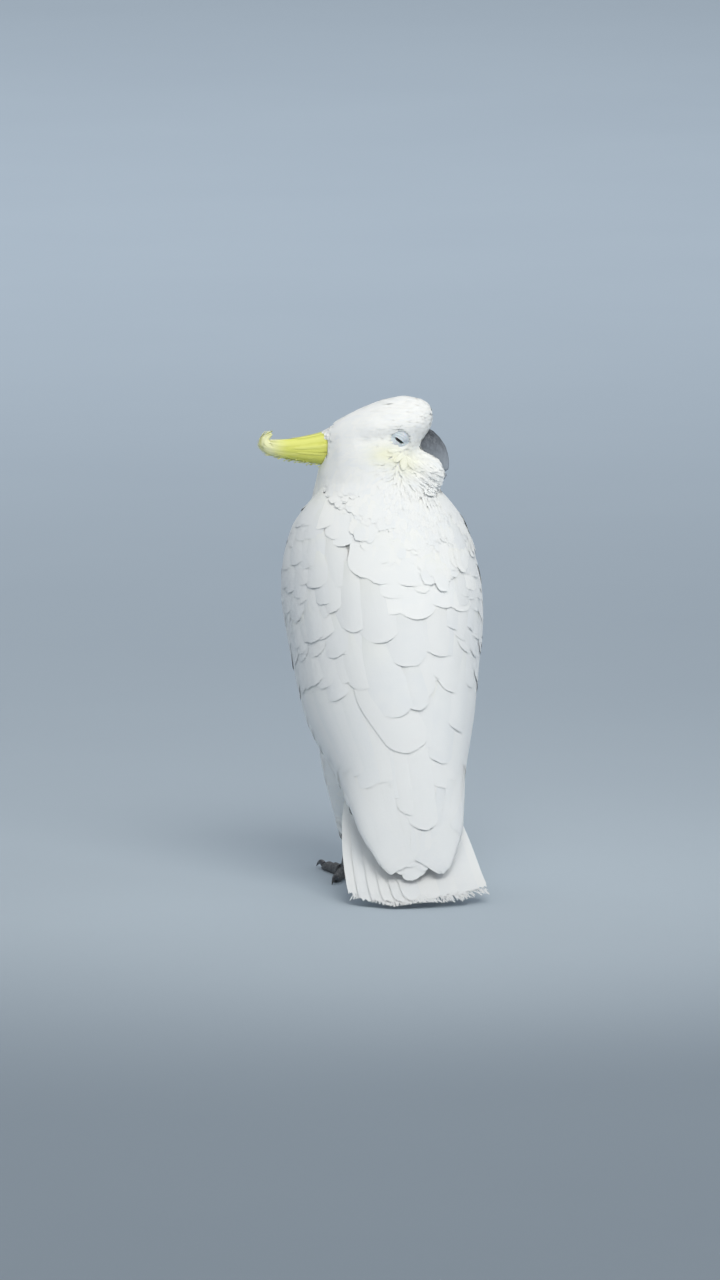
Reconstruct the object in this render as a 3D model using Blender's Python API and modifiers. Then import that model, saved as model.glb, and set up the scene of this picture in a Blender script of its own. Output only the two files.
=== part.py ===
"""A life-size sulphur-crested cockatoo, standing with its head turned over its right shoulder.

The bird looks along +Y, +X is its right side and +Z is up. Its feet and the end of its tail stand
on the floor at Z 0. Every size is in metres and every angle in degrees. The plumage is worked out
as one body form, from outline tables read through smooth curves. The wings are shells laid on that
form, and thin cuts part the rest of it into trunk, neck and head.
"""

import math

import bmesh
import bpy
from mathutils import Matrix, Vector

# ---------------------------------------------------------------- driving dimensions
CUT = 0.0004  # the gap left between two neighbouring pieces
CLEARANCE = 0.0005  # how far a piece is swollen before it is cut out of its neighbour

# The back runs straight from the wing tips up to the shoulders, leaning from upright.
BACK_LEAN = 22.0
WING_TIPS = Vector((0.0, -0.140, 0.030))

# Outline of trunk and folded wings: place along the back, middle in X, half width, depth from back to belly.
BODY = (
    (-0.012, 0.0000, 0.0120, 0.005),
    (0.000, 0.0000, 0.0285, 0.009),
    (0.018, 0.0000, 0.0380, 0.018),
    (0.038, 0.0002, 0.0462, 0.032),
    (0.053, 0.0005, 0.0492, 0.044),
    (0.072, 0.0010, 0.0530, 0.064),
    (0.097, 0.0018, 0.0572, 0.088),
    (0.151, 0.0022, 0.0728, 0.131),
    (0.187, 0.0032, 0.0788, 0.146),
    (0.227, 0.0045, 0.0845, 0.152),
    (0.260, 0.0036, 0.0876, 0.147),
    (0.292, 0.0014, 0.0850, 0.132),
    (0.321, 0.0002, 0.0765, 0.110),
    (0.337, -0.0004, 0.0655, 0.094),
    (0.350, -0.0006, 0.0530, 0.080),
)
TRUNK_FROM, TRUNK_TO = 0.048, 0.345
RUMP_ROUNDING = 0.045  # the length over which the trunk's lower end closes
RUMP_END = 0.25  # the share of its full section that the lower end keeps

# Edges of each folded wing round the body: place along the back, angle of the wing's back edge from
# the midline, angle of its front edge. The turned head draws the mantle towards the right wing.
WING_EDGES = {
    "left": (
        (-0.012, 4.0, 88.0),
        (0.050, 1.5, 97.0),
        (0.100, 1.5, 102.0),
        (0.160, 2.0, 106.0),
        (0.225, 5.0, 112.0),
        (0.260, 15.0, 116.0),
        (0.292, 30.0, 120.0),
        (0.320, 42.0, 122.0),
    ),
    "right": (
        (-0.012, 4.0, 88.0),
        (0.050, 1.5, 97.0),
        (0.100, 1.5, 102.0),
        (0.160, 2.0, 106.0),
        (0.205, 8.0, 110.0),
        (0.235, 32.0, 113.0),
        (0.270, 50.0, 117.0),
        (0.320, 60.0, 122.0),
    ),
}
# Each wing's tracts from the tip upwards: lower end, upper end, how far the tract stands proud of the
# body form, and how many rounded feather ends its lower edge shows.
WING_TRACTS = {
    "primaries": (-0.0115, 0.088, 0.0000, 1),
    "secondaries": (0.088, 0.202, 0.0008, 3),
    "coverts": (0.202, 0.316, 0.0018, 5),
}
WING_DEPTH = (  # place along the back, thickness of the folded wing
    (-0.0115, 0.0022),
    (0.0880, 0.0060),
    (0.2020, 0.0090),
    (0.3160, 0.0100),
)
FEATHER_END_DEPTH = 0.007  # depth of the scallops between two feather ends
TRACT_GAP = 0.0010  # between two tracts, along the back
WING_ACROSS, WING_LENGTHWISE = 10, 4  # faces of each tract
WING_EDGE_DEPTH = 0.45  # a wing's thickness at its edges, as a share of that in its middle
WING_EDGE_SWELL = 0.06  # how far in from an edge the swell stops falling, as a share of the width
WING_BED_MARGIN = 0.7  # degrees by which a wing's seat in the body reaches past its edges

# The tail: a fan that runs from under the rump to the floor, where it bends flat.
# Share of its length, then Y and Z of its middle, half width, thickness and how far its sides arch down.
TAIL = (
    (0.00, -0.0260, 0.1250, 0.0200, 0.0120, 0.0070),
    (0.25, -0.0560, 0.0910, 0.0460, 0.0095, 0.0090),
    (0.50, -0.0900, 0.0565, 0.0555, 0.0070, 0.0080),
    (0.80, -0.1330, 0.0185, 0.0595, 0.0050, 0.0050),
    (1.00, -0.1665, 0.0030, 0.0610, 0.0036, 0.0030),
)
TAIL_SKEW = 0.080  # the tail's left corner reaches further than its right one, per metre of width
TAIL_FEATHERS = 8
TAIL_SCALLOP = 0.0035
TAIL_CORNER = 0.004  # how far the outer corners are rounded off
TAIL_LIFT = 0.010  # by which the right outermost feather's end is clear of the floor
TAIL_LEAST_DEPTH = 0.0012  # of the tail's end on the floor
TAIL_EDGE_DEPTH = 0.15  # half depth at the tail's sides, as a share of its thickness
TAIL_ACROSS, TAIL_LENGTHWISE = 16, 5

# The head looks along its own +X, with its origin on its midplane at the height of the eyes.
HEAD_TURN = 102.0
HEAD_ORIGIN = Vector((0.0199, 0.0264, 0.389))
# Head outline: place along the bill's direction, height of the middle, half height, half width.
HEAD = (
    (-0.0720, -0.0080, 0.0030, 0.0030),
    (-0.0690, -0.0075, 0.0085, 0.0085),
    (-0.0580, -0.0070, 0.0190, 0.0185),
    (-0.0440, -0.0078, 0.0275, 0.0265),
    (-0.0280, -0.0075, 0.0345, 0.0310),
    (-0.0120, -0.0035, 0.0368, 0.0305),
    (0.0040, 0.0025, 0.0328, 0.0270),
    (0.0160, 0.0100, 0.0235, 0.0225),
    (0.0250, 0.0148, 0.0145, 0.0150),
    (0.0298, 0.0175, 0.0050, 0.0055),
)
CHEEK_CENTRE = Vector((0.0190, 0.0135, -0.0320))
CHEEK_RADII = Vector((0.0215, 0.0115, 0.0195))
# The crop, which fills the hollow between neck and breast.
CROP_CENTRE = Vector((0.001, 0.046, 0.286))
CROP_RADII = Vector((0.060, 0.051, 0.076))
# Neck in the head's frame: height, middle along X, middle along Y, half length, half width.
NECK = (
    (-0.100, -0.0190, 0.0020, 0.0640, 0.0560),
    (-0.072, -0.0200, 0.0010, 0.0610, 0.0520),
    (-0.056, -0.0210, 0.0010, 0.0575, 0.0480),
    (-0.040, -0.0220, 0.0010, 0.0525, 0.0435),
    (-0.026, -0.0235, 0.0000, 0.0475, 0.0390),
    (-0.010, -0.0245, 0.0000, 0.0420, 0.0340),
    (0.010, -0.0260, 0.0000, 0.0300, 0.0260),
)
# Vent feathers under the tail: middle in Y and Z, half width, half depth.
VENT = (
    (0.010, 0.130, 0.0420, 0.0330),
    (-0.030, 0.098, 0.0380, 0.0260),
    (-0.065, 0.070, 0.0320, 0.0170),
    (-0.100, 0.043, 0.0240, 0.0085),
    (-0.112, 0.033, 0.0120, 0.0035),
)
FORM_VOXEL = 0.0035  # the grain at which the forms are joined
FORM_FACES = 580  # of the joined form
TRUNK_RINGS, TRUNK_SIDES = 22, 32
HEAD_RINGS, HEAD_SIDES = 22, 24
NECK_RINGS, NECK_SIDES = 10, 28
VENT_RINGS, VENT_SIDES = 8, 20
HEAD_CUT_POINT = Vector((-0.016, 0.0, -0.0365))  # in the head's frame
HEAD_CUT_TILT = 8.0
NECK_CUT_HEIGHT = 0.329

# Crest in the head's frame: along X, up, half height, half width.
CREST = (
    (-0.046, -0.0030, 0.0150, 0.0115),
    (-0.062, -0.0105, 0.0148, 0.0105),
    (-0.078, -0.0122, 0.0118, 0.0085),
    (-0.094, -0.0124, 0.0088, 0.0066),
    (-0.107, -0.0118, 0.0070, 0.0050),
    (-0.1160, -0.0095, 0.0056, 0.0036),
    (-0.1185, -0.0050, 0.0036, 0.0026),
    (-0.1155, -0.0008, 0.0018, 0.0016),
    (-0.1105, 0.0002, 0.0007, 0.0007),
)

# Upper bill in the head's frame, along its middle line: X, up, half height, half width.
UPPER_BILL = (
    (0.0040, -0.0010, 0.0120, 0.0100),
    (0.0140, -0.0040, 0.0135, 0.0105),
    (0.0225, -0.0085, 0.0135, 0.0098),
    (0.0300, -0.0145, 0.0112, 0.0082),
    (0.0352, -0.0220, 0.0080, 0.0062),
    (0.0380, -0.0300, 0.0048, 0.0042),
    (0.0382, -0.0360, 0.0024, 0.0024),
    (0.0370, -0.0400, 0.0007, 0.0008),
)
LOWER_BILL = (
    (0.0060, -0.0230, 0.0070, 0.0090),
    (0.0150, -0.0290, 0.0070, 0.0088),
    (0.0240, -0.0345, 0.0058, 0.0078),
    (0.0310, -0.0375, 0.0036, 0.0062),
    (0.0340, -0.0370, 0.0012, 0.0036),
)

# Eyes: a ball deep in the head under a lid with a slanting slit.
EYE_OFFSET = 0.0180  # of the ball's centre from the head's midplane
EYE_RADIUS = 0.0080
LID_INNER, LID_OUTER = 0.0083, 0.0091
LID_DEPTH = 0.0030  # how far outwards of the ball's centre the lids end
LID_SLIT = Vector((0.0112, 0.030, 0.0026))  # length, depth of the cutter, opening
LID_SLANT = 38.0

# Legs: X outwards from the midplane.
THIGH = (
    (0.0300, 0.006, 0.142, 0.0280),
    (0.0295, 0.012, 0.110, 0.0255),
    (0.0282, 0.016, 0.080, 0.0195),
    (0.0270, 0.019, 0.058, 0.0145),
    (0.0263, 0.020, 0.044, 0.0106),
)
TARSUS = (
    (0.0262, 0.0200, 0.0520, 0.0066),
    (0.0258, 0.0210, 0.0360, 0.0060),
    (0.0254, 0.0222, 0.0200, 0.0066),
    (0.0252, 0.0230, 0.0085, 0.0085),
    (0.0252, 0.0230, -0.0020, 0.0080),
)
FOOT_CENTRE = Vector((0.0252, 0.0230, 0.0))
# Toes: root's place outwards of the foot's centre; direction from straight ahead, turning outwards;
# length; radius at the root.
TOES = {
    "front_outer": (0.0056, 12.0, 0.046, 0.0053),
    "front_inner": (-0.0056, -10.0, 0.036, 0.0049),
    "back_outer": (0.0053, 156.0, 0.038, 0.0049),
    "back_inner": (-0.0053, 198.0, 0.029, 0.0046),
}
TOE_ROOT = 0.0055  # where a toe leaves the foot's centre
TOE_TIP_SHARE = 0.72  # of the root's radius
TOE_PADS = 3
TOE_PAD_SWELL = 0.10
TOE_MIDDLE = 0.88  # height of a toe's middle line over the floor, as a share of its radius
TOE_ROUNDING, TOE_END = 0.1, 0.3  # the last share of its length, which rounds off, and what is left
CLAW_LENGTH, CLAW_RADIUS, CLAW_RISE = 0.0150, 0.0031, 0.0030
CLAW_SEAT = 0.003  # how deep the claw starts inside the toe
CLAW_TIP = 0.0004
CLAW_NARROW = 0.8  # its width as a share of its height

WHITE = (0.93, 0.93, 0.91)
YELLOW = (0.92, 0.88, 0.22)
BILL_GREY = (0.09, 0.09, 0.10)
FOOT_GREY = (0.17, 0.17, 0.18)
EYE_BROWN = (0.02, 0.014, 0.010)
LID_WHITE = (0.74, 0.79, 0.83)

# ---------------------------------------------------------------- scene and materials


def clear_scene():
    for obj in list(bpy.data.objects):
        bpy.data.objects.remove(obj)


def new_collection(name):
    made = bpy.data.collections.new(name)
    bpy.context.scene.collection.children.link(made)
    return made


def new_material(name, colour, roughness):
    made = bpy.data.materials.new(name)
    made.use_nodes = True
    shader = made.node_tree.nodes["Principled BSDF"]
    shader.inputs["Base Color"].default_value = (*colour, 1.0)
    shader.inputs["Roughness"].default_value = roughness
    shader.inputs["Metallic"].default_value = 0.0
    return made


def new_object(name, mesh, collection, material=None, parent=None):
    made = bpy.data.objects.new(name, mesh)
    collection.objects.link(made)
    made.parent = parent
    if material is not None:
        mesh.materials.append(material)
        mesh.shade_smooth()
        mesh.set_sharp_from_angle(angle=math.radians(50))
    return made


# ---------------------------------------------------------------- curves through tables


def along(table, place):
    """The table's columns at a place in its first column, on a smooth curve through its rows."""
    keys = [row[0] for row in table]
    if place <= keys[0]:
        return list(table[0][1:])
    if place >= keys[-1]:
        return list(table[-1][1:])
    i = max(k for k in range(len(keys) - 1) if keys[k] <= place)
    span = keys[i + 1] - keys[i]
    t = (place - keys[i]) / span
    values = []
    for column in range(1, len(table[0])):

        def slope(k):
            low, high = max(k - 1, 0), min(k + 1, len(keys) - 1)
            return (table[high][column] - table[low][column]) / (keys[high] - keys[low])

        start, end = table[i][column], table[i + 1][column]
        values.append(
            start * (2 * t**3 - 3 * t**2 + 1)
            + end * (3 * t**2 - 2 * t**3)
            + span * slope(i) * (t**3 - 2 * t**2 + t)
            + span * slope(i + 1) * (t**3 - t**2)
        )
    return values


def numbered(table):
    """The table with an even count from 0 to 1 put before its rows, so that along() can read it."""
    return tuple((i / (len(table) - 1), *row) for i, row in enumerate(table))


def steps(low, high, count):
    """count + 1 even places from low to high."""
    return [low + (high - low) * i / count for i in range(count + 1)]


# ---------------------------------------------------------------- closed meshes


def ring(centre, across, up, half_across, half_up, count):
    """An ellipse of points round a centre."""
    turns = [2 * math.pi * i / count for i in range(count)]
    return [
        centre + across * (half_across * math.cos(t)) + up * (half_up * math.sin(t)) for t in turns
    ]


def loft(name, rings):
    """A closed mesh through rings of equally many points."""
    work = bmesh.new()
    rows = [[work.verts.new(point) for point in points] for points in rings]
    count = len(rows[0])
    for low, high in zip(rows, rows[1:]):
        for i in range(count):
            j = (i + 1) % count
            work.faces.new((low[i], low[j], high[j], high[i]))
    work.faces.new(reversed(rows[0]))
    work.faces.new(rows[-1])
    bmesh.ops.recalc_face_normals(work, faces=work.faces)
    mesh = bpy.data.meshes.new(name)
    work.to_mesh(mesh)
    work.free()
    return mesh


def tube(name, table, count, sections, squeeze_floor=False):
    """A loft along a middle line in space. Rows: X, Y, Z, then one radius or half height and half width."""
    rows = numbered(table)
    rings = []
    for t in steps(0.0, 1.0, sections):
        x, y, z, *radii = along(rows, t)
        ahead = Vector(along(rows, min(t + 0.01, 1.0))[:3])
        behind = Vector(along(rows, max(t - 0.01, 0.0))[:3])
        line = (ahead - behind).normalized()
        across = line.cross(Vector((0, 0, 1)))
        across = across.normalized() if across.length > 0.05 else Vector((1, 0, 0))
        up = across.cross(line).normalized()
        half_up, half_across = radii[0], radii[-1]
        rings.append(ring(Vector((x, y, z)), across, up, half_across, half_up, count))
    if squeeze_floor:
        for points in rings:
            for point in points:
                point.z = max(point.z, 0.0)
    return loft(name, rings)


def flat_table(table):
    """Rows of X, up, half height and half width as rows of X, Y, Z, half height and half width."""
    return tuple((x, 0.0, z, high, wide) for x, z, high, wide in table)


def evaluated_mesh(obj):
    bpy.context.view_layer.update()
    graph = bpy.context.evaluated_depsgraph_get()
    return bpy.data.meshes.new_from_object(obj.evaluated_get(graph))


def swollen(obj, cutters, by=CLEARANCE):
    """A copy of an object, grown by a clearance, to cut its seat out of a neighbour."""
    mesh = evaluated_mesh(obj)
    work = bmesh.new()
    work.from_mesh(mesh)
    work.normal_update()
    moves = [(vertex, vertex.normal * by) for vertex in work.verts]
    for vertex, move in moves:
        vertex.co += move
    work.to_mesh(mesh)
    work.free()
    cutter = new_object(f"{obj.name}_cutter", mesh, cutters)
    cutter.matrix_world = obj.matrix_world.copy()
    cutter.hide_render = True
    cutter.display_type = "WIRE"
    return cutter


def cut_out(obj, *cutters):
    """Takes several cutters out of an object in one step, so that they may overlap each other."""
    seats = bpy.data.collections.new(f"{obj.name}_seats")
    bpy.data.collections["cutters"].children.link(seats)
    for cutter in cutters:
        seats.objects.link(cutter)
    modifier = obj.modifiers.new("seats", "BOOLEAN")
    modifier.operation = "DIFFERENCE"
    modifier.solver = "EXACT"
    modifier.operand_type = "COLLECTION"
    modifier.collection = seats


# ---------------------------------------------------------------- the body form

UP_BACK = Vector((0.0, math.sin(math.radians(BACK_LEAN)), math.cos(math.radians(BACK_LEAN))))
TO_BELLY = Vector((0.0, math.cos(math.radians(BACK_LEAN)), -math.sin(math.radians(BACK_LEAN))))
HEAD_POSE = Matrix.Translation(HEAD_ORIGIN) @ Matrix.Rotation(math.radians(90.0 - HEAD_TURN), 4, "Z")


def body_point(place, angle):
    """A point of the body form: place along the back, and angle round it from the midline to the right."""
    middle, wide, deep = along(BODY, place)
    turn = math.radians(angle)
    back = WING_TIPS + UP_BACK * place + TO_BELLY * (deep * (1 - math.cos(turn)) / 2)
    return back + Vector((middle + wide * math.sin(turn), 0, 0))


def body_normal(place, angle):
    nudge_along, nudge_round = 0.002, 2.0
    low, high = body_point(place - nudge_along, angle), body_point(place + nudge_along, angle)
    left, right = body_point(place, angle - nudge_round), body_point(place, angle + nudge_round)
    return (right - left).cross(high - low).normalized()


def trunk_mesh():
    rings = []
    for place in steps(TRUNK_FROM, TRUNK_TO, TRUNK_RINGS):
        shift, wide, deep = along(BODY, place)
        closing = min(1.0, (place - TRUNK_FROM) / RUMP_ROUNDING)
        share = RUMP_END + (1 - RUMP_END) * math.sqrt(closing * (2 - closing))
        middle = WING_TIPS + UP_BACK * place + TO_BELLY * (deep / 2) + Vector((shift, 0, 0))
        half_deep = deep * share / 2
        rings.append(ring(middle, Vector((1, 0, 0)), TO_BELLY, wide * share, half_deep, TRUNK_SIDES))
    return loft("trunk_form", rings)


def vent_mesh():
    rows = tuple((0.0, y, z, deep, wide) for y, z, wide, deep in VENT)
    return tube("vent_form", rows, VENT_SIDES, VENT_RINGS)


def head_mesh():
    """The cranium, crown and nape as one form along the head's own X."""
    rings = []
    for x in steps(HEAD[0][0], HEAD[-1][0], HEAD_RINGS):
        z, high, wide = along(HEAD, x)
        centre = Vector((x, 0, z))
        rings.append(ring(centre, Vector((0, 1, 0)), Vector((0, 0, 1)), wide, high, HEAD_SIDES))
    mesh = loft("head_form", rings)
    mesh.transform(HEAD_POSE)
    return mesh


def neck_mesh():
    rings = []
    for z in steps(NECK[0][0], NECK[-1][0], NECK_RINGS):
        x, y, long, wide = along(NECK, z)
        centre = Vector((x, y, z))
        rings.append(ring(centre, Vector((1, 0, 0)), Vector((0, 1, 0)), long, wide, NECK_SIDES))
    mesh = loft("neck_form", rings)
    mesh.transform(HEAD_POSE)
    return mesh


def ellipsoid_mesh(name, pose, centre, radii):
    mesh = ball(name, 1.0, 20, 12)
    mesh.transform(pose @ Matrix.Translation(centre) @ Matrix.Diagonal((*radii, 1.0)))
    return mesh


def cheek_mesh(side):
    """The puff of face feathers that hides one side of the lower bill."""
    centre = Vector((CHEEK_CENTRE.x, CHEEK_CENTRE.y * side, CHEEK_CENTRE.z))
    return ellipsoid_mesh("cheek_form", HEAD_POSE, centre, CHEEK_RADII)


def body_form(cutters):
    """Trunk, neck and head as one smooth closed mesh, before it is parted."""
    crop = ellipsoid_mesh("crop_form", Matrix.Identity(4), CROP_CENTRE, CROP_RADII)
    work = bmesh.new()
    for mesh in (trunk_mesh(), vent_mesh(), crop, neck_mesh(), head_mesh(), cheek_mesh(1), cheek_mesh(-1)):
        work.from_mesh(mesh)
    joined = bpy.data.meshes.new("body_form")
    work.to_mesh(joined)
    work.free()
    form = new_object("body_form", joined, cutters)
    form.hide_render = True
    form.display_type = "WIRE"
    remesh = form.modifiers.new("one_skin", "REMESH")
    remesh.mode = "VOXEL"
    remesh.voxel_size = FORM_VOXEL
    smooth = form.modifiers.new("soften", "SMOOTH")
    smooth.factor, smooth.iterations = 0.5, 10
    faces = len(evaluated_mesh(form).polygons)
    fewer = form.modifiers.new("fewer_faces", "DECIMATE")
    fewer.ratio = min(1.0, FORM_FACES / faces)
    return evaluated_mesh(form)


def side_of_plane(mesh, name, point, normal):
    """The closed part of a mesh on the side of a plane that the normal points to, half a gap from it."""
    work = bmesh.new()
    work.from_mesh(mesh)
    every = work.verts[:] + work.edges[:] + work.faces[:]
    bmesh.ops.bisect_plane(
        work, geom=every, plane_co=point + normal * (CUT / 2), plane_no=normal, clear_inner=True
    )
    rim = [edge for edge in work.edges if edge.is_boundary]
    bmesh.ops.holes_fill(work, edges=rim, sides=0)
    bmesh.ops.recalc_face_normals(work, faces=work.faces)
    made = bpy.data.meshes.new(name)
    work.to_mesh(made)
    work.free()
    return made


# ---------------------------------------------------------------- wings and tail


def wing_skin(side, u, place, margin=0.0):
    """Where a wing lies: the point of the body form under it, the way out, its swell and its thickness."""
    sign = 1 if side == "right" else -1
    back_edge, front_edge = along(WING_EDGES[side], place)
    back_edge, front_edge = back_edge - margin, front_edge + margin
    angle = sign * (back_edge + (front_edge - back_edge) * u)
    swell = math.sin(math.pi * min(max(u, WING_EDGE_SWELL), 1 - WING_EDGE_SWELL))
    thickness = along(WING_DEPTH, place)[0] * (WING_EDGE_DEPTH + (1 - WING_EDGE_DEPTH) * swell)
    return body_point(place, angle), body_normal(place, angle), swell, thickness


def feather_ends(tract, u):
    """How far the tract's lower edge lies above its lowest line, at a share u of the way to the front."""
    ends = WING_TRACTS[tract][3]
    return FEATHER_END_DEPTH * (1 - abs(math.sin(math.pi * ends * u))) if ends > 1 else 0.0


def wing_shell(side, tract):
    """One tract of a folded wing: a curved shell laid on the body form, its lower edge in feather ends."""
    low, high, proud, _ = WING_TRACTS[tract]
    above = {"primaries": "secondaries", "secondaries": "coverts"}.get(tract)
    outer, inner = [], []
    for u in steps(0.0, 1.0, WING_ACROSS):
        bottom = low + feather_ends(tract, u)
        top = high - TRACT_GAP + (feather_ends(above, u) if above else 0.0)
        for place in steps(bottom, top, WING_LENGTHWISE):
            point, normal, swell, thickness = wing_skin(side, u, place)
            outer.append(point + normal * (proud * swell))
            inner.append(point + normal * (proud * swell - thickness))
    return shell(f"wing_{side}_{tract}", outer, inner, WING_ACROSS, WING_LENGTHWISE)


def wing_bed(side, cutters):
    """The cutter of one wing's seat: the whole wing, grown by the clearance and open to the outside."""
    low, high = WING_TRACTS["primaries"][0] - CLEARANCE, WING_TRACTS["coverts"][1] + CLEARANCE
    lengthwise = 3 * WING_LENGTHWISE
    outer, inner = [], []
    for u in steps(0.0, 1.0, WING_ACROSS):
        for place in steps(low, high, lengthwise):
            point, normal, _, thickness = wing_skin(side, u, place, WING_BED_MARGIN)
            outer.append(point + normal * 2 * WING_DEPTH[-1][1])
            inner.append(point - normal * (thickness + 2 * CLEARANCE))
    bed = new_object(f"wing_bed_{side}", shell("wing_bed", outer, inner, WING_ACROSS, lengthwise), cutters)
    bed.hide_render = True
    bed.display_type = "WIRE"
    return bed


def shell(name, outer, inner, across, lengthwise):
    """A closed mesh between two grids of points."""
    work = bmesh.new()
    top = [work.verts.new(point) for point in outer]
    bottom = [work.verts.new(point) for point in inner]
    row = lengthwise + 1
    for i in range(across):
        for j in range(lengthwise):
            square = (i * row + j, (i + 1) * row + j, (i + 1) * row + j + 1, i * row + j + 1)
            work.faces.new([top[k] for k in square])
            work.faces.new([bottom[k] for k in reversed(square)])
    rim = (
        [i * row for i in range(across + 1)]
        + [across * row + j for j in range(1, row)]
        + [i * row + lengthwise for i in range(across - 1, -1, -1)]
        + [j for j in range(lengthwise - 1, 0, -1)]
    )
    for a, b in zip(rim, rim[1:] + rim[:1]):
        work.faces.new((top[b], top[a], bottom[a], bottom[b]))
    bmesh.ops.recalc_face_normals(work, faces=work.faces)
    mesh = bpy.data.meshes.new(name)
    work.to_mesh(mesh)
    work.free()
    return mesh


def tail_mesh():
    """The fan of tail feathers, arched across, whose end rests flat on the floor."""
    length = math.dist(TAIL[0][1:3], TAIL[-1][1:3])
    upper, lower = [], []
    for u in steps(-1.0, 1.0, TAIL_ACROSS):
        ends = abs(math.sin(math.pi * TAIL_FEATHERS * (u + 1) / 2))
        half_width = TAIL[-1][3]
        shorter = TAIL_SKEW * half_width * u + TAIL_SCALLOP * (1 - ends) + TAIL_CORNER * u**4
        reach = 1 - shorter / length
        for v in steps(0.0, 1.0, TAIL_LENGTHWISE):
            share = min(reach * v, 1.0)
            y, z, wide, thick, arch = along(TAIL, share)
            after, before = along(TAIL, min(share + 0.01, 1.0)), along(TAIL, max(share - 0.01, 0.0))
            over = Vector((0, before[1] - after[1], after[0] - before[0])).normalized() * -1
            over *= math.copysign(1.0, over.z)
            lift = TAIL_LIFT * (max(u, 0.0) * share) ** 2
            middle = Vector((wide * u, y, z + lift)) - over * (arch * u * u)
            half_depth = thick * (math.sqrt(max(0.0, 1 - u**6)) / 2 + TAIL_EDGE_DEPTH)
            upper.append(middle + over * half_depth)
            lower.append(middle - over * half_depth)
    for point in upper:
        point.z = max(point.z, TAIL_LEAST_DEPTH)
    for point in lower:
        point.z = max(point.z, 0.0)
    return shell("tail", upper, lower, TAIL_ACROSS, TAIL_LENGTHWISE)


# ---------------------------------------------------------------- eyes, legs and feet


def ball(name, radius, u_segments=12, v_segments=8):
    work = bmesh.new()
    bmesh.ops.create_uvsphere(work, u_segments=u_segments, v_segments=v_segments, radius=radius)
    mesh = bpy.data.meshes.new(name)
    work.to_mesh(mesh)
    work.free()
    return mesh


def box(name, side):
    work = bmesh.new()
    bmesh.ops.create_cube(work, size=side)
    mesh = bpy.data.meshes.new(name)
    work.to_mesh(mesh)
    work.free()
    return mesh


def mirrored_row(row, sign):
    return (row[0] * sign, *row[1:])


def leg_tube(name, table, sign, count, sections):
    rows = tuple(mirrored_row(row, sign) for row in table)
    return tube(name, rows, count, sections, squeeze_floor=True)


def toe_mesh(name, length, radius):
    """A toe along +Y from the foot's centre: it swells at each pad and its underside is flat on the floor."""
    rings = []
    for t in steps(0.0, 1.0, 6):
        swell = 1 + TOE_PAD_SWELL * math.cos(2 * math.pi * TOE_PADS * t)
        now = radius * (1 - (1 - TOE_TIP_SHARE) * t) * swell
        now *= math.sqrt(max(TOE_END, 1 - max(0.0, (t - 1) / TOE_ROUNDING + 1) ** 2))
        centre = Vector((0, TOE_ROOT + (length - TOE_ROOT) * t, now * TOE_MIDDLE))
        rings.append(ring(centre, Vector((1, 0, 0)), Vector((0, 0, 1)), now, now, 8))
    for points in rings:
        for point in points:
            point.z = max(point.z, 0.0)
    return loft(name, rings)


def claw_mesh(name, toe_length, toe_radius):
    """A claw that leaves the toe's end, arches over and comes down to the floor."""
    rings = []
    start = toe_radius * TOE_TIP_SHARE * TOE_MIDDLE
    for t in steps(0.0, 1.0, 6):
        now = CLAW_RADIUS * (1 - t) ** 0.8 + CLAW_TIP
        height = start * (1 - t) + CLAW_RISE * math.sin(math.pi * t) + now * 0.9 * t
        centre = Vector((0, toe_length - CLAW_SEAT + (CLAW_LENGTH + CLAW_SEAT) * t, height))
        rings.append(ring(centre, Vector((1, 0, 0)), Vector((0, 0, 1)), now * CLAW_NARROW, now, 6))
    for points in rings:
        for point in points:
            point.z = max(point.z, 0.0)
    return loft(name, rings)


# ---------------------------------------------------------------- putting it together


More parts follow.
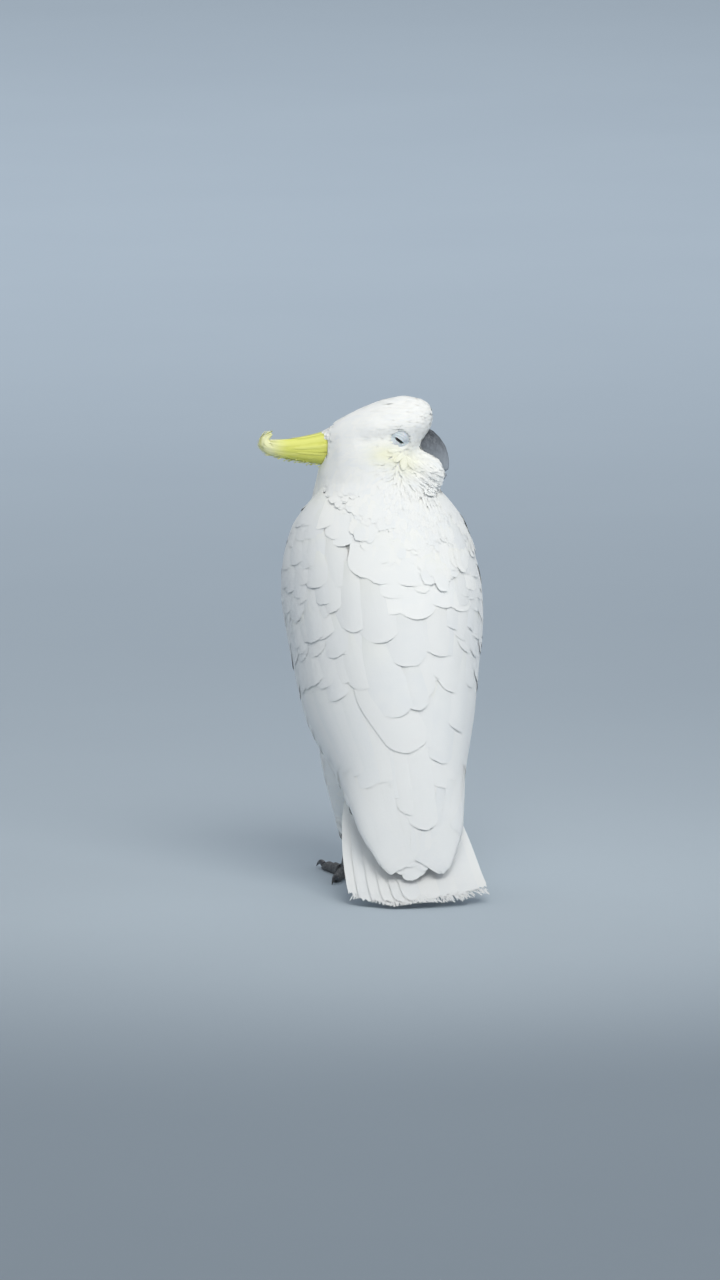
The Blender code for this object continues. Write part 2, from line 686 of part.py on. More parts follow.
def build():
    clear_scene()
    parts = new_collection("cockatoo")
    cutters = new_collection("cutters")
    white = new_material("plumage", WHITE, 0.8)
    yellow = new_material("crest_yellow", YELLOW, 0.75)
    horn = new_material("bill_horn", BILL_GREY, 0.45)
    scale = new_material("foot_scale", FOOT_GREY, 0.6)
    brown = new_material("eye", EYE_BROWN, 0.08)
    lid = new_material("lid_skin", LID_WHITE, 0.55)

    form = body_form(cutters)
    tilt = math.radians(HEAD_CUT_TILT)
    head_up = (HEAD_POSE.to_3x3() @ Vector((math.sin(tilt), 0, math.cos(tilt)))).normalized()
    head_at = HEAD_POSE @ HEAD_CUT_POINT
    neck_at, level = Vector((0, 0, NECK_CUT_HEIGHT)), Vector((0, 0, 1))
    above_neck = side_of_plane(form, "above", neck_at, level)
    trunk = new_object("trunk", side_of_plane(form, "trunk", neck_at, -level), parts, white)
    head = new_object("head", side_of_plane(above_neck, "head", head_at, head_up), parts, white)
    neck = new_object("neck", side_of_plane(above_neck, "neck", head_at, -head_up), parts, white)

    tail = new_object("tail", tail_mesh(), parts, white)
    trunk_cutters = [swollen(tail, cutters, 3 * CLEARANCE)]
    for side in WING_EDGES:
        trunk_cutters.append(wing_bed(side, cutters))
        for tract in WING_TRACTS:
            shape = wing_shell(side, tract)
            new_object(shape.name, shape, parts, white)

    crest = new_object("crest", tube("crest", flat_table(CREST), 10, 12), parts, yellow)
    upper = new_object("bill_upper", tube("bill_upper", flat_table(UPPER_BILL), 12, 11), parts, horn)
    lower = new_object("bill_lower", tube("bill_lower", flat_table(LOWER_BILL), 12, 6), parts, horn)
    for piece in (crest, upper, lower):
        piece.matrix_world = HEAD_POSE
    upper_cutter = swollen(upper, cutters)
    cut_out(lower, upper_cutter)
    head_cutters = [swollen(crest, cutters), upper_cutter, swollen(lower, cutters)]
    for side, sign in (("left", 1), ("right", -1)):
        head_cutters.append(add_eye(side, sign, parts, cutters, brown, lid))
    cut_out(head, *head_cutters)

    thighs = []
    for side, sign in (("left", -1), ("right", 1)):
        thigh, tarsus_cutter = add_leg(side, sign, parts, cutters, white, scale, horn)
        thighs.append((thigh, tarsus_cutter))
        trunk_cutters.append(tarsus_cutter)
    cut_out(trunk, *trunk_cutters)
    whole_form = new_object("whole_form", form, cutters)
    whole_form.hide_render = True
    whole_form.display_type = "WIRE"
    form_cutter = swollen(whole_form, cutters, 2 * CLEARANCE)
    for thigh, tarsus_cutter in thighs:
        cut_out(thigh, form_cutter, tarsus_cutter)
    centre_over_origin(parts, cutters)


def add_eye(side, sign, parts, cutters, brown, lid):
    """The eyeball, and the lid round it: half a thin ball with a slit for the drowsing eye.

    Returns the cutter of the eye socket.
    """
    at = HEAD_POSE @ Matrix.Translation((0, EYE_OFFSET * sign, 0))
    eye = new_object(f"eye_{side}", ball("eye", EYE_RADIUS), parts, brown)
    eye.matrix_world = at
    lids = new_object(f"eyelids_{side}", ball("eyelids", LID_OUTER), parts, lid)
    lids.matrix_world = at
    hollow = new_object(f"lid_hollow_{side}", ball("lid_hollow", LID_INNER), cutters)
    hollow.matrix_world = at
    slit = new_object(f"lid_slit_{side}", ball("lid_slit", 0.5, 12, 8), cutters)
    slant = Matrix.Rotation(math.radians(LID_SLANT), 4, "Y")
    slit.matrix_world = (
        at @ Matrix.Translation((0, EYE_RADIUS * sign, 0)) @ slant @ Matrix.Diagonal((*LID_SLIT, 1.0))
    )
    inner_half = new_object(f"lid_inner_half_{side}", box("inner_half", 4 * LID_OUTER), cutters)
    inner_half.matrix_world = at @ Matrix.Translation((0, -(2 * LID_OUTER - LID_DEPTH) * sign, 0))
    socket = new_object(f"eye_socket_{side}", ball("socket", LID_OUTER + CLEARANCE), cutters)
    socket.matrix_world = at
    for cutter in (hollow, slit, inner_half, socket):
        cutter.hide_render = True
        cutter.display_type = "WIRE"
    cut_out(lids, hollow, slit, inner_half)
    return socket


def add_leg(side, sign, parts, cutters, white, scale, horn):
    """Thigh, tarsus, four toes and their claws. Returns the thigh and the cutter of the tarsus."""
    thigh = new_object(f"thigh_{side}", leg_tube("thigh", THIGH, sign, 12, 6), parts, white)
    tarsus = new_object(f"tarsus_{side}", leg_tube("tarsus", TARSUS, sign, 10, 7), parts, scale)
    tarsus_cutter = swollen(tarsus, cutters)
    for name, (offset, outwards, length, radius) in TOES.items():
        turn = Matrix.Rotation(math.radians(-outwards * sign), 4, "Z")
        centre = Vector(((FOOT_CENTRE.x + offset) * sign, FOOT_CENTRE.y, 0))
        toe = new_object(f"toe_{side}_{name}", toe_mesh("toe", length, radius), parts, scale)
        claw = new_object(f"claw_{side}_{name}", claw_mesh("claw", length, radius), parts, horn)
        for piece in (toe, claw):
            piece.matrix_world = Matrix.Translation(centre) @ turn
        cut_out(toe, tarsus_cutter, swollen(claw, cutters))
    return thigh, tarsus_cutter


def centre_over_origin(*collections):
    """Stands everything on one empty, moved so that the bird's box is centred over the origin."""
    bpy.context.view_layer.update()
    graph = bpy.context.evaluated_depsgraph_get()
    corners = []
    for obj in collections[0].objects:
        shape = obj.evaluated_get(graph)
        corners += [shape.matrix_world @ Vector(corner) for corner in shape.bound_box]
    low = Vector([min(corner[k] for corner in corners) for k in range(3)])
    high = Vector([max(corner[k] for corner in corners) for k in range(3)])
    stand = bpy.data.objects.new("bird", None)
    collections[0].objects.link(stand)
    for collection in collections:
        for obj in collection.objects:
            if obj is not stand:
                obj.parent = stand
    stand.location = (-(low.x + high.x) / 2, -(low.y + high.y) / 2, -low.z)


build()
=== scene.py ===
"""A sulphur-crested cockatoo at rest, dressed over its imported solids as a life-size museum model."""

import logging
import math
from dataclasses import dataclass, field, fields, replace
from enum import Enum
from typing import Callable

import bmesh
import bpy
import numpy as np
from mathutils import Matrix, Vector, noise
from mathutils.bvhtree import BVHTree
from mathutils.kdtree import KDTree


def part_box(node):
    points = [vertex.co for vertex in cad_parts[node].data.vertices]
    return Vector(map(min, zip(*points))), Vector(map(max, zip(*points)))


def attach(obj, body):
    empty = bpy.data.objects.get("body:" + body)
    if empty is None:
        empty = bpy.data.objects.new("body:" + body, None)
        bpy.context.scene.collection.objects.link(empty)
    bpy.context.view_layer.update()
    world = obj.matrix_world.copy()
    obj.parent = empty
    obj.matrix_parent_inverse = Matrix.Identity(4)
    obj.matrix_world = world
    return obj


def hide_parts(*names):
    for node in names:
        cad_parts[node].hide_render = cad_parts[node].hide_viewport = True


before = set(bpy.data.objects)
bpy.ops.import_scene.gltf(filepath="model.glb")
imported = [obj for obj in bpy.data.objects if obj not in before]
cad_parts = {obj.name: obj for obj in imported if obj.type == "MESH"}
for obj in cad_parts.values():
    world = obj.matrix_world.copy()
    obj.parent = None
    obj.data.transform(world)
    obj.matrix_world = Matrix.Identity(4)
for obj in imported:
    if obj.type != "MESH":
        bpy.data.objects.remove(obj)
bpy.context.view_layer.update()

LOG = logging.getLogger("cockatoo")
BODY = "root"
BAKE_MAP = "OFBake"
VANE_MAP = "VaneUV"
# Each feather's own shade, and its points' share of wash.
TRAITS = ("lot", "tint")
MM = 0.001
SEED = 512
UP = np.array((0.0, 0.0, 1.0))
# How wide a patch of the bake map each feather reads.
PATCH = 0.003
# Points of a solid nearer than this are one.
WELD = 1e-5

Array = np.ndarray
Material = bpy.types.Material
Pair = tuple[float, float]
Triple = tuple[float, float, float]


# ---- small maths


def unit(vectors: Array) -> Array:
    """The vectors at length one."""
    return vectors / np.maximum(np.linalg.norm(vectors, axis=-1, keepdims=True), 1e-12)


def ease(low: float, high: float, value: Array) -> Array:
    """A smooth rise from 0 at low to 1 at high."""
    share = np.clip((value - low) / (high - low), 0.0, 1.0)
    return share * share * (3 - 2 * share)


def read(table: Array, at: Array) -> Array:
    """Reads a guide table smoothly, and runs on in a straight line past its first row.

    Args:
        table: rows of a key and its values, in rising order of key.
        at: the keys to read.

    Returns:
        One row of values for each key.
    """
    keys, values = table[:, 0], table[:, 1:]
    last = len(keys) - 1
    before, after = np.clip(np.arange(last + 1) - 1, 0, last), np.clip(np.arange(last + 1) + 1, 0, last)
    slopes = (values[after] - values[before]) / (keys[after] - keys[before])[:, None]
    inside = np.clip(at, keys[0], keys[-1])
    part = np.clip(np.searchsorted(keys, inside, "right") - 1, 0, last - 1)
    span = (keys[part + 1] - keys[part])[..., None]
    t = (inside - keys[part])[..., None] / span
    smooth = (
        values[part] * (2 * t**3 - 3 * t**2 + 1)
        + values[part + 1] * (3 * t**2 - 2 * t**3)
        + span * slopes[part] * (t**3 - 2 * t**2 + t)
        + span * slopes[part + 1] * (t**3 - t**2)
    )
    return smooth + np.minimum(at - keys[0], 0.0)[..., None] * slopes[0]


def grid_quads(rows: int, columns: int) -> Array:
    """The squares of a grid of points numbered row by row."""
    corner = (np.arange(rows - 1)[:, None] * columns + np.arange(columns - 1)).reshape(-1)
    return np.stack([corner, corner + 1, corner + columns + 1, corner + columns], axis=1)


def tube_quads(rings: int, count: int) -> Array:
    """The squares of a tube of rings, each ring closed on itself."""
    ring, step = np.meshgrid(np.arange(rings - 1), np.arange(count), indexing="ij")
    after = (step + 1) % count
    quads = [ring * count + step, ring * count + after, (ring + 1) * count + after, (ring + 1) * count + step]
    return np.stack([corner.reshape(-1) for corner in quads], axis=1)


# ---- where things are


class Side(Enum):
    """The bird's wing and leg sides, and which way each lies along X."""

    LEFT = "left"
    RIGHT = "right"

    @property
    def sign(self) -> float:
        """Plus one on the +X side."""
        return 1.0 if self is Side.RIGHT else -1.0


def middle_of(node: str) -> Array:
    """The middle of a solid's box."""
    low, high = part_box(node)
    return (np.array(low) + np.array(high)) / 2


@dataclass(frozen=True)
class HeadPlace:
    """The head's own axes: from the eyes' middle towards the bill, towards its left side, and up."""

    turn: float = 102.0
    drawn_at: Triple = (0.0199, 0.0264, 0.389)
    bill_root: Triple = (0.02, 0.0, -0.01)

    @property
    def origin(self) -> Array:
        """The middle between the two eyes."""
        return (middle_of("eye_left") + middle_of("eye_right")) / 2

    @property
    def axes(self) -> Array:
        """Rows: towards the bill, towards the head's left side, up."""
        angle = math.radians(self.turn - 90)
        ahead = (math.cos(angle), -math.sin(angle), 0.0)
        return np.array([ahead, (math.sin(angle), math.cos(angle), 0.0), UP])

    @property
    def shift(self) -> Array:
        """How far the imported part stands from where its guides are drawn."""
        return self.origin - np.array(self.drawn_at)

    def inward(self, points: Array) -> Array:
        """World points in the head's own axes."""
        return (points - self.origin) @ self.axes.T

    def outward(self, points: Array) -> Array:
        """Head points in world axes."""
        return points @ self.axes + self.origin

    def from_bill(self, points: Array) -> Array:
        """How far world points lie from the root of the bill."""
        return np.linalg.norm(self.inward(points) - np.array(self.bill_root), axis=1)


HEAD = HeadPlace()


@dataclass(frozen=True)
class Spot:
    """A soft round area on both sides of the head: middle and reach, towards the bill and upwards."""

    middle: Pair
    reach: Pair
    strength: float = 1.0

    def at(self, points: Array) -> Array:
        """The strength at world points, fading outwards."""
        local = HEAD.inward(points)
        (x, z), (wide, high) = self.middle, self.reach
        return self.strength * np.exp(-(((local[:, 0] - x) / wide) ** 2 + ((local[:, 2] - z) / high) ** 2))


# ---- nodes and finishes


def linear(code: str) -> tuple[float, float, float, float]:
    """An sRGB hex colour as linear light, with full alpha."""
    parts = [int(code[i : i + 2], 16) / 255 for i in (1, 3, 5)]
    return (*(c / 12.92 if c <= 0.04045 else ((c + 0.055) / 1.055) ** 2.4 for c in parts), 1.0)


def add(
    tree: bpy.types.NodeTree,
    kind: str,
    settings: dict[str | int, object] | None = None,
    links: dict[str | int, bpy.types.Node | bpy.types.NodeSocket] | None = None,
) -> bpy.types.Node:
    """Adds a node with its settings and what feeds it.

    Args:
        tree: the material's tree.
        kind: the node's type name, without its ShaderNode prefix.
        settings: properties by name, and input values by input name or number.
        links: for each input, the output that feeds it, or the node whose first output does.

    Returns:
        The new node.
    """
    node = tree.nodes.new("ShaderNode" + kind)
    for key, value in (settings or {}).items():
        if isinstance(key, str) and hasattr(node, key):
            setattr(node, key, value)
        else:
            node.inputs[key].default_value = value
    for key, source in (links or {}).items():
        tree.links.new(source.outputs[0] if isinstance(source, bpy.types.Node) else source, node.inputs[key])
    return node


def blank(name: str) -> tuple[Material, bpy.types.NodeTree, bpy.types.NodeSocket]:
    """A material with an empty tree but for the place on its surface, in metres."""
    material = bpy.data.materials.new(name)
    material.use_nodes = True
    tree = material.node_tree
    tree.nodes.clear()
    return material, tree, add(tree, "TexCoord").outputs["Object"]


def shaded(material: Material, settings: dict[str, object], links: dict[str, object]) -> Material:
    """The material with its one shader, of these settings and links."""
    tree = material.node_tree
    add(tree, "OutputMaterial", None, {"Surface": add(tree, "BsdfPrincipled", settings, links)})
    return material


@dataclass(frozen=True)
class FeatherKeratin:
    """Vaned feather of unpigmented keratin: matt and chalky, with a faint sheen at grazing angles.

    The barbs of a real vane stand 0.3 mm apart, too fine to show, so they are drawn 0.6 mm apart.
    Powder lies in patches 17 mm across, and the down's fibres stand 2.4 mm apart.
    The skin wears it too, without barbs, so that gaps between feathers read as deeper plumage.
    """

    name: str = "keratin feather, powder white"
    white: str = "#FBFBF8"
    cool: str = "#F1F4F6"
    wash: str = "#F3F0A4"
    barb_spacing: float = 0.6
    barb_slant: float = 1.15
    barb_depth: float = 0.06
    shaft_half: float = 0.55
    shaft_rise: float = 3.0
    roughness: Pair = (0.69, 0.82)
    barbs: bool = True

    def make(self) -> Material:
        """White in two tones by feather, with the yellow wash over it."""
        material, tree, place = blank(self.name)
        lot, tint = (add(tree, "Attribute", {"attribute_name": name}).outputs["Fac"] for name in TRAITS)
        powder = add(tree, "TexNoise", {"Scale": 60.0, "Detail": 3.0}, {"Vector": place})
        mixed = add(tree, "Math", {"operation": "MULTIPLY"}, {0: lot, 1: powder})
        tones = {"Color1": linear(self.white), "Color2": linear(self.cool)}
        body = add(tree, "MixRGB", tones, {"Fac": mixed})
        colour = add(tree, "MixRGB", {"Color2": linear(self.wash)}, {"Fac": tint, "Color1": body})
        low, high = self.roughness
        matt = add(tree, "MapRange", {"To Min": low, "To Max": high}, {"Value": powder})
        down = add(tree, "TexNoise", {"Scale": 420.0, "Detail": 4.0}, {"Vector": place})
        relief = add(tree, "Bump", {"Strength": 0.12, "Distance": 0.6 * MM}, {"Height": down})
        if self.barbs:
            relief = self.barb_relief(tree, relief)
        settings = {"Sheen Weight": 0.25, "Sheen Roughness": 0.5, "Specular IOR Level": 0.3}
        return shaded(material, settings, {"Base Color": colour, "Roughness": matt, "Normal": relief})

    def barb_relief(self, tree: bpy.types.NodeTree, under: bpy.types.Node) -> bpy.types.Node:
        """Raises slanting barbs and the shaft over a finer relief.

        Args:
            tree: the material's tree.
            under: the normal that the relief starts from.

        Returns:
            The normal with barbs and shaft.
        """
        split = add(tree, "SeparateXYZ", None, {"Vector": add(tree, "UVMap", {"uv_map": VANE_MAP})})
        across = add(tree, "Math", {"operation": "ABSOLUTE"}, {0: split.outputs["X"]})
        lean = {"operation": "MULTIPLY_ADD", 1: -self.barb_slant}
        slant = add(tree, "Math", lean, {0: across, 2: split.outputs["Y"]})
        turns = add(tree, "Math", {"operation": "MULTIPLY", 1: math.tau / self.barb_spacing}, {0: slant})
        wave = add(tree, "Math", {"operation": "SINE"}, {0: turns})
        fall = {"From Min": 0.0, "From Max": self.shaft_half, "To Min": self.shaft_rise, "To Max": 0.0}
        shaft = add(tree, "MapRange", fall, {"Value": across})
        height = add(tree, "Math", {"operation": "ADD"}, {0: wave, 1: shaft})
        depth = {"Strength": self.barb_depth, "Distance": 0.5 * MM}
        return add(tree, "Bump", depth, {"Height": height, "Normal": under})


@dataclass(frozen=True)
class CrestKeratin:
    """Long crest feather coloured by its own yellow pigment: lemon, deeper in streaks, paler at its frayed,
    turned-up end, which is partly painted highlight.
    """

    name: str = "keratin crest feather, lemon"
    lemon: str = "#F5F68F"
    deep: str = "#E4E668"
    # The pale end's tone, partly painted highlight on the turned-up curl.
    pale: str = "#FBFBD2"

    def make(self) -> Material:
        """Yellow in streaks along each feather."""
        material, tree, _ = blank(self.name)
        lot, tint = (add(tree, "Attribute", {"attribute_name": name}).outputs["Fac"] for name in TRAITS)
        vane = add(tree, "UVMap", {"uv_map": VANE_MAP})
        # Streaks run along each feather: 0.8 mm across and some 12 mm long.
        stretch = add(tree, "Mapping", {"Scale": (1.2, 0.08, 1.0)}, {"Vector": vane})
        streak = add(tree, "TexNoise", {"Scale": 1.0, "Detail": 3.0}, {"Vector": stretch})
        part = add(tree, "Math", {"operation": "MULTIPLY_ADD", 1: 0.6, 2: -0.05}, {0: lot})
        depth = add(tree, "Math", {"operation": "MULTIPLY_ADD", 1: 0.5}, {0: streak, 2: part})
        tones = {"Color1": linear(self.lemon), "Color2": linear(self.deep)}
        body = add(tree, "MixRGB", tones, {"Fac": depth})
        colour = add(tree, "MixRGB", {"Color2": linear(self.pale)}, {"Fac": tint, "Color1": body})
        relief = add(tree, "Bump", {"Strength": 0.35, "Distance": 0.5 * MM}, {"Height": streak})
        settings = {"Roughness": 0.62, "Specular IOR Level": 0.35}
        settings |= {"Sheen Weight": 0.2, "Sheen Roughness": 0.5}
        return shaded(material, settings, {"Base Color": colour, "Normal": relief})


@dataclass(frozen=True)
class Horn:
    """Solid horn, grown in layers: smooth and dark with a dull lustre, dusted where powder down settles.

    Its growth lines stand some 2.4 mm apart, drawn out along the horn, and specks of powder 1.1 mm.
    """

    name: str
    dark: str
    mid: str
    dust: str
    dusting: float
    roughness: float
    # How much paler the horn is at its lower edge than at its top.
    shade: float = 0.0
    # How far the paler layers show among the dark ones.
    blend: float = 1.0

    def make(self) -> Material:
        """Layers of two tones, paler low down, under settled powder."""
        material, tree, place = blank(self.name)
        stretch = add(tree, "Mapping", {"Scale": (1.0, 1.0, 0.35)}, {"Vector": place})
        lines = add(tree, "TexNoise", {"Scale": 420.0, "Detail": 4.0}, {"Vector": stretch})
        specks = add(tree, "TexNoise", {"Scale": 900.0, "Detail": 3.0}, {"Vector": place})
        layers = add(tree, "MapRange", {"To Max": self.blend}, {"Value": lines})
        tones = {"Color1": linear(self.dark), "Color2": linear(self.mid)}
        body = add(tree, "MixRGB", tones, {"Fac": layers})
        box = add(tree, "SeparateXYZ", None, {"Vector": add(tree, "TexCoord").outputs["Generated"]})
        rise = {"From Min": 0.3, "From Max": 0.8, "To Min": 1 - self.shade, "To Max": 1.0}
        deep = add(tree, "MapRange", rise, {"Value": box.outputs["Z"]})
        body = add(tree, "MixRGB", {"Color1": linear(self.mid)}, {"Fac": deep, "Color2": body})
        both = add(tree, "Math", {"operation": "MULTIPLY"}, {0: lines, 1: specks})
        powder = {"From Min": 0.16, "From Max": 0.4, "To Min": 0.0, "To Max": self.dusting}
        settled = add(tree, "MapRange", powder, {"Value": both})
        colour = add(tree, "MixRGB", {"Color2": linear(self.dust)}, {"Fac": settled, "Color1": body})
        dull = {"To Min": self.roughness - 0.1, "To Max": self.roughness + 0.2}
        matt = add(tree, "MapRange", dull, {"Value": settled})
        relief = add(tree, "Bump", {"Strength": 0.25, "Distance": 0.4 * MM}, {"Height": lines})
        links = {"Base Color": colour, "Roughness": matt, "Normal": relief}
        return shaded(material, {"Specular IOR Level": 0.35}, links)


@dataclass(frozen=True)
class ScaledSkin:
    """Bare leg skin in small horny scales: dark grey plates with paler, dusty joints between them."""

    name: str = "scaled leg skin, dusty grey"
    plate: str = "#4C4D50"
    joint: str = "#8B8B89"
    scale_size: float = 1.6

    def make(self) -> Material:
        """Cells with joints sunk between them."""
        material, tree, place = blank(self.name)
        pattern = {"feature": "DISTANCE_TO_EDGE", "Scale": 1.0 / (self.scale_size * MM)}
        cells = add(tree, "TexVoronoi", pattern, {"Vector": place}).outputs["Distance"]
        edge = add(tree, "MapRange", {"From Min": 0.0, "From Max": 0.12}, {"Value": cells})
        tones = {"Color1": linear(self.joint), "Color2": linear(self.plate)}
        colour = add(tree, "MixRGB", tones, {"Fac": edge})
        relief = add(tree, "Bump", {"Strength": 0.5, "Distance": 0.5 * MM}, {"Height": edge})
        return shaded(material, {"Roughness": 0.6}, {"Base Color": colour, "Normal": relief})


@dataclass(frozen=True)
class LidSkin:
    """Thin bare eyelid skin: bluish white, finely creased every 0.7 mm and a little moist."""

    name: str = "bare lid skin, bluish white"
    pale: str = "#E6ECEE"
    blue: str = "#CDD8DF"

    def make(self) -> Material:
        """Two tones in patches 4 mm across, with creases."""
        material, tree, place = blank(self.name)
        creases = add(tree, "TexNoise", {"Scale": 1400.0, "Detail": 3.0}, {"Vector": place})
        broad = add(tree, "TexNoise", {"Scale": 260.0}, {"Vector": place})
        tones = {"Color1": linear(self.pale), "Color2": linear(self.blue)}
        colour = add(tree, "MixRGB", tones, {"Fac": broad})
        relief = add(tree, "Bump", {"Strength": 0.3, "Distance": 0.3 * MM}, {"Height": creases})
        settings = {"Roughness": 0.5, "Subsurface Weight": 0.1, "Subsurface Scale": 1.0 * MM}
        return shaded(material, settings, {"Base Color": colour, "Normal": relief})


@dataclass(frozen=True)
class WetEye:
    """Cornea over a nearly black iris: wet, smooth and sharply reflecting, with flecks 0.7 mm across."""

    name: str = "cornea over dark iris, wet"
    iris: str = "#1B1512"
    pupil: str = "#070708"

    def make(self) -> Material:
        """Dark flecks under a clear coat."""
        material, tree, place = blank(self.name)
        flecks = add(tree, "TexNoise", {"Scale": 1500.0, "Detail": 2.0}, {"Vector": place})
        tones = {"Color1": linear(self.pupil), "Color2": linear(self.iris)}
        settings = {"Roughness": 0.08, "IOR": 1.38, "Coat Weight": 1.0, "Coat Roughness": 0.02}
        return shaded(material, settings, {"Base Color": add(tree, "MixRGB", tones, {"Fac": flecks})})


@dataclass(frozen=True)
class Paper:
    """Seamless background paper, rolled and matt, mottled in patches half a metre across."""

    name: str = "background paper, pale blue grey"
    tone: str = "#BCC8D1"
    fibre: str = "#B6C2CC"

    def make(self) -> Material:
        """Two near tones."""
        material, tree, place = blank(self.name)
        mottle = add(tree, "TexNoise", {"Scale": 2.0, "Detail": 4.0}, {"Vector": place})
        tones = {"Color1": linear(self.tone), "Color2": linear(self.fibre)}
        colour = add(tree, "MixRGB", tones, {"Fac": mottle})
        return shaded(material, {"Roughness": 0.9}, {"Base Color": colour})


# ---- meshes


def link(name: str, data: bpy.types.ID) -> bpy.types.Object:
    """A new object of some data, in the scene."""
    made = bpy.data.objects.new(name, data)
    bpy.context.scene.collection.objects.link(made)
    return made


def rows_of(elements: bpy.types.bpy_prop_collection, name: str) -> Array:
    """A vector that every element of a mesh has, one row each."""
    values = np.empty(len(elements) * 3, np.float32)
    elements.foreach_get(name, values)
    return values.reshape(-1, 3).astype(float)


def mesh_piece(name: str, points: Array, quads: Array, material: Material) -> bpy.types.Object:
    """A smooth-shaded object of four-sided faces.

    Args:
        name: the piece's name.
        points: one row for each vertex.
        quads: one row of four vertex numbers for each face.
        material: what it is made of.

    Returns:
        The object, linked to the scene.
    """
    mesh = bpy.data.meshes.new(name)
    mesh.vertices.add(len(points))
    mesh.vertices.foreach_set("co", points.astype(np.float32).reshape(-1))
    mesh.loops.add(quads.size)
    mesh.loops.foreach_set("vertex_index", quads.astype(np.int32).reshape(-1))
    mesh.polygons.add(len(quads))
    mesh.polygons.foreach_set("loop_start", np.arange(len(quads), dtype=np.int32) * 4)
    mesh.polygons.foreach_set("use_smooth", np.ones(len(quads), bool))
    mesh.update(calc_edges=True)
    mesh.validate()
    mesh.materials.append(material)
    return link(name, mesh)


def hand_over(piece: bpy.types.Object, slot: str, *nodes: str) -> None:
    """Fixes a piece to the body and hides the solids that it stands for.

    Args:
        piece: the finished piece.
        slot: not used.
        nodes: the solids it replaces.
    """
    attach(piece, BODY)
    if nodes:
        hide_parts(*nodes)
    triangles = sum(len(face.vertices) - 2 for face in piece.data.polygons)
    LOG.info("%s: %d triangles, stands for %s", piece.name, triangles, ", ".join(nodes) or "no solid")


def remeshed(name: str, nodes: tuple[str, ...], voxel: float, swell: float, smooth: int) -> bpy.types.Mesh:
    """One closed even mesh around some solids.

    Args:
        name: the new mesh's name.
        nodes: the solids it takes in.
        voxel: the size of its faces.
        swell: how far each solid grows first, so that neighbours merge.
        smooth: rounds of smoothing.

    Returns:
        The mesh, with smooth shading.
    """
    work = bmesh.new()
    for node in nodes:
        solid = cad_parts[node].data.copy()
        if swell:
            one = bmesh.new()
            one.from_mesh(solid)
            bmesh.ops.remove_doubles(one, verts=one.verts, dist=WELD)
            one.normal_update()
            for vertex in one.verts:
                vertex.co += vertex.normal * swell
            one.to_mesh(solid)
            one.free()
        work.from_mesh(solid)
        bpy.data.meshes.remove(solid)
    bmesh.ops.remove_doubles(work, verts=work.verts, dist=WELD)
    joined = bpy.data.meshes.new(name)
    work.to_mesh(joined)
    work.free()
    holder = link(name, joined)
    remesh = holder.modifiers.new("even faces", "REMESH")
    remesh.mode = "VOXEL"
    remesh.voxel_size = voxel
    relax = holder.modifiers.new("smooth", "SMOOTH")
    relax.factor = 0.5
    relax.iterations = smooth
    bpy.context.view_layer.update()
    graph = bpy.context.evaluated_depsgraph_get()
    made = bpy.data.meshes.new_from_object(holder.evaluated_get(graph))
    bpy.data.objects.remove(holder)
    made.name = name
    made.polygons.foreach_set("use_smooth", np.ones(len(made.polygons), bool))
    return made


def reshaped(name: str, mesh: bpy.types.Mesh, points: Array, finish: Material) -> bpy.types.Object:
    """Moves a mesh's vertices, gives it its one material, and puts it in the scene.

    Args:
        name: the piece's name.
        mesh: the mesh.
        points: where its vertices go.
        finish: its material.

    Returns:
        The object.
    """
    mesh.vertices.foreach_set("co", points.astype(np.float32).reshape(-1))
    mesh.update()
    mesh.materials.clear()
    mesh.materials.append(finish)
    return link(name, mesh)


# ---- feathers


@dataclass(frozen=True)
class Vane:
    """The shape that one kind of feather shares. Widths are shares of its half width."""

    rows: int = 8
    columns: int = 5
    root_width: float = 0.4
    widest: float = 0.55
    tip: float = 0.9
    cup: float = 0.0006
    fray: float = 0.0006
    # How much of the fray three columns share, as barbs that cling together.
    clump: float = 0.6
    shaft: float = 0.0
    shaft_half: float = 0.12
    rise: float = 0.75
    droop: float = 0.0
    droop_from: float = 0.72

    @property
    def shares(self) -> Array:
        """How far along the feather each row lies."""
        return np.linspace(0.0, 1.0, self.rows) ** 0.85

    @property
    def sweep(self) -> Array:
        """The angle of each column across the rounded tip."""
        return np.linspace(-math.pi / 2, math.pi / 2, self.columns)


@dataclass
class Batch:
    """Feathers of one kind, laid and ready to join a piece."""

    points: Array
    across: Array
    along: Array
    roots: Array
    lot: Array
    tint: Array
    facing: Array

    def chosen(self, keep: Array) -> "Batch":
        """The batch with only some of its feathers."""
        return Batch(*(getattr(self, one.name)[keep] for one in fields(self)))

    @property
    def smooth(self) -> Array:
        """Whether each feather lies over one smooth form, neither across a crease nor stood on edge."""
        turn = np.sum(self.facing[:, :1, :1] * self.facing, axis=-1).min(axis=(1, 2))
        along, across = np.diff(self.points, axis=1)[:, :, :-1], np.diff(self.points, axis=2)[:, :-1]
        normal = np.cross(along, across)
        area = np.linalg.norm(normal, axis=-1)
        flat = np.abs(np.sum(unit(normal) * self.facing[:, :-1, :-1], axis=-1))
        small = area < 0.15 * area.mean(axis=(1, 2), keepdims=True)
        return (turn > 0.35) & (np.where(small, 1.0, flat).min(axis=(1, 2)) > 0.45)


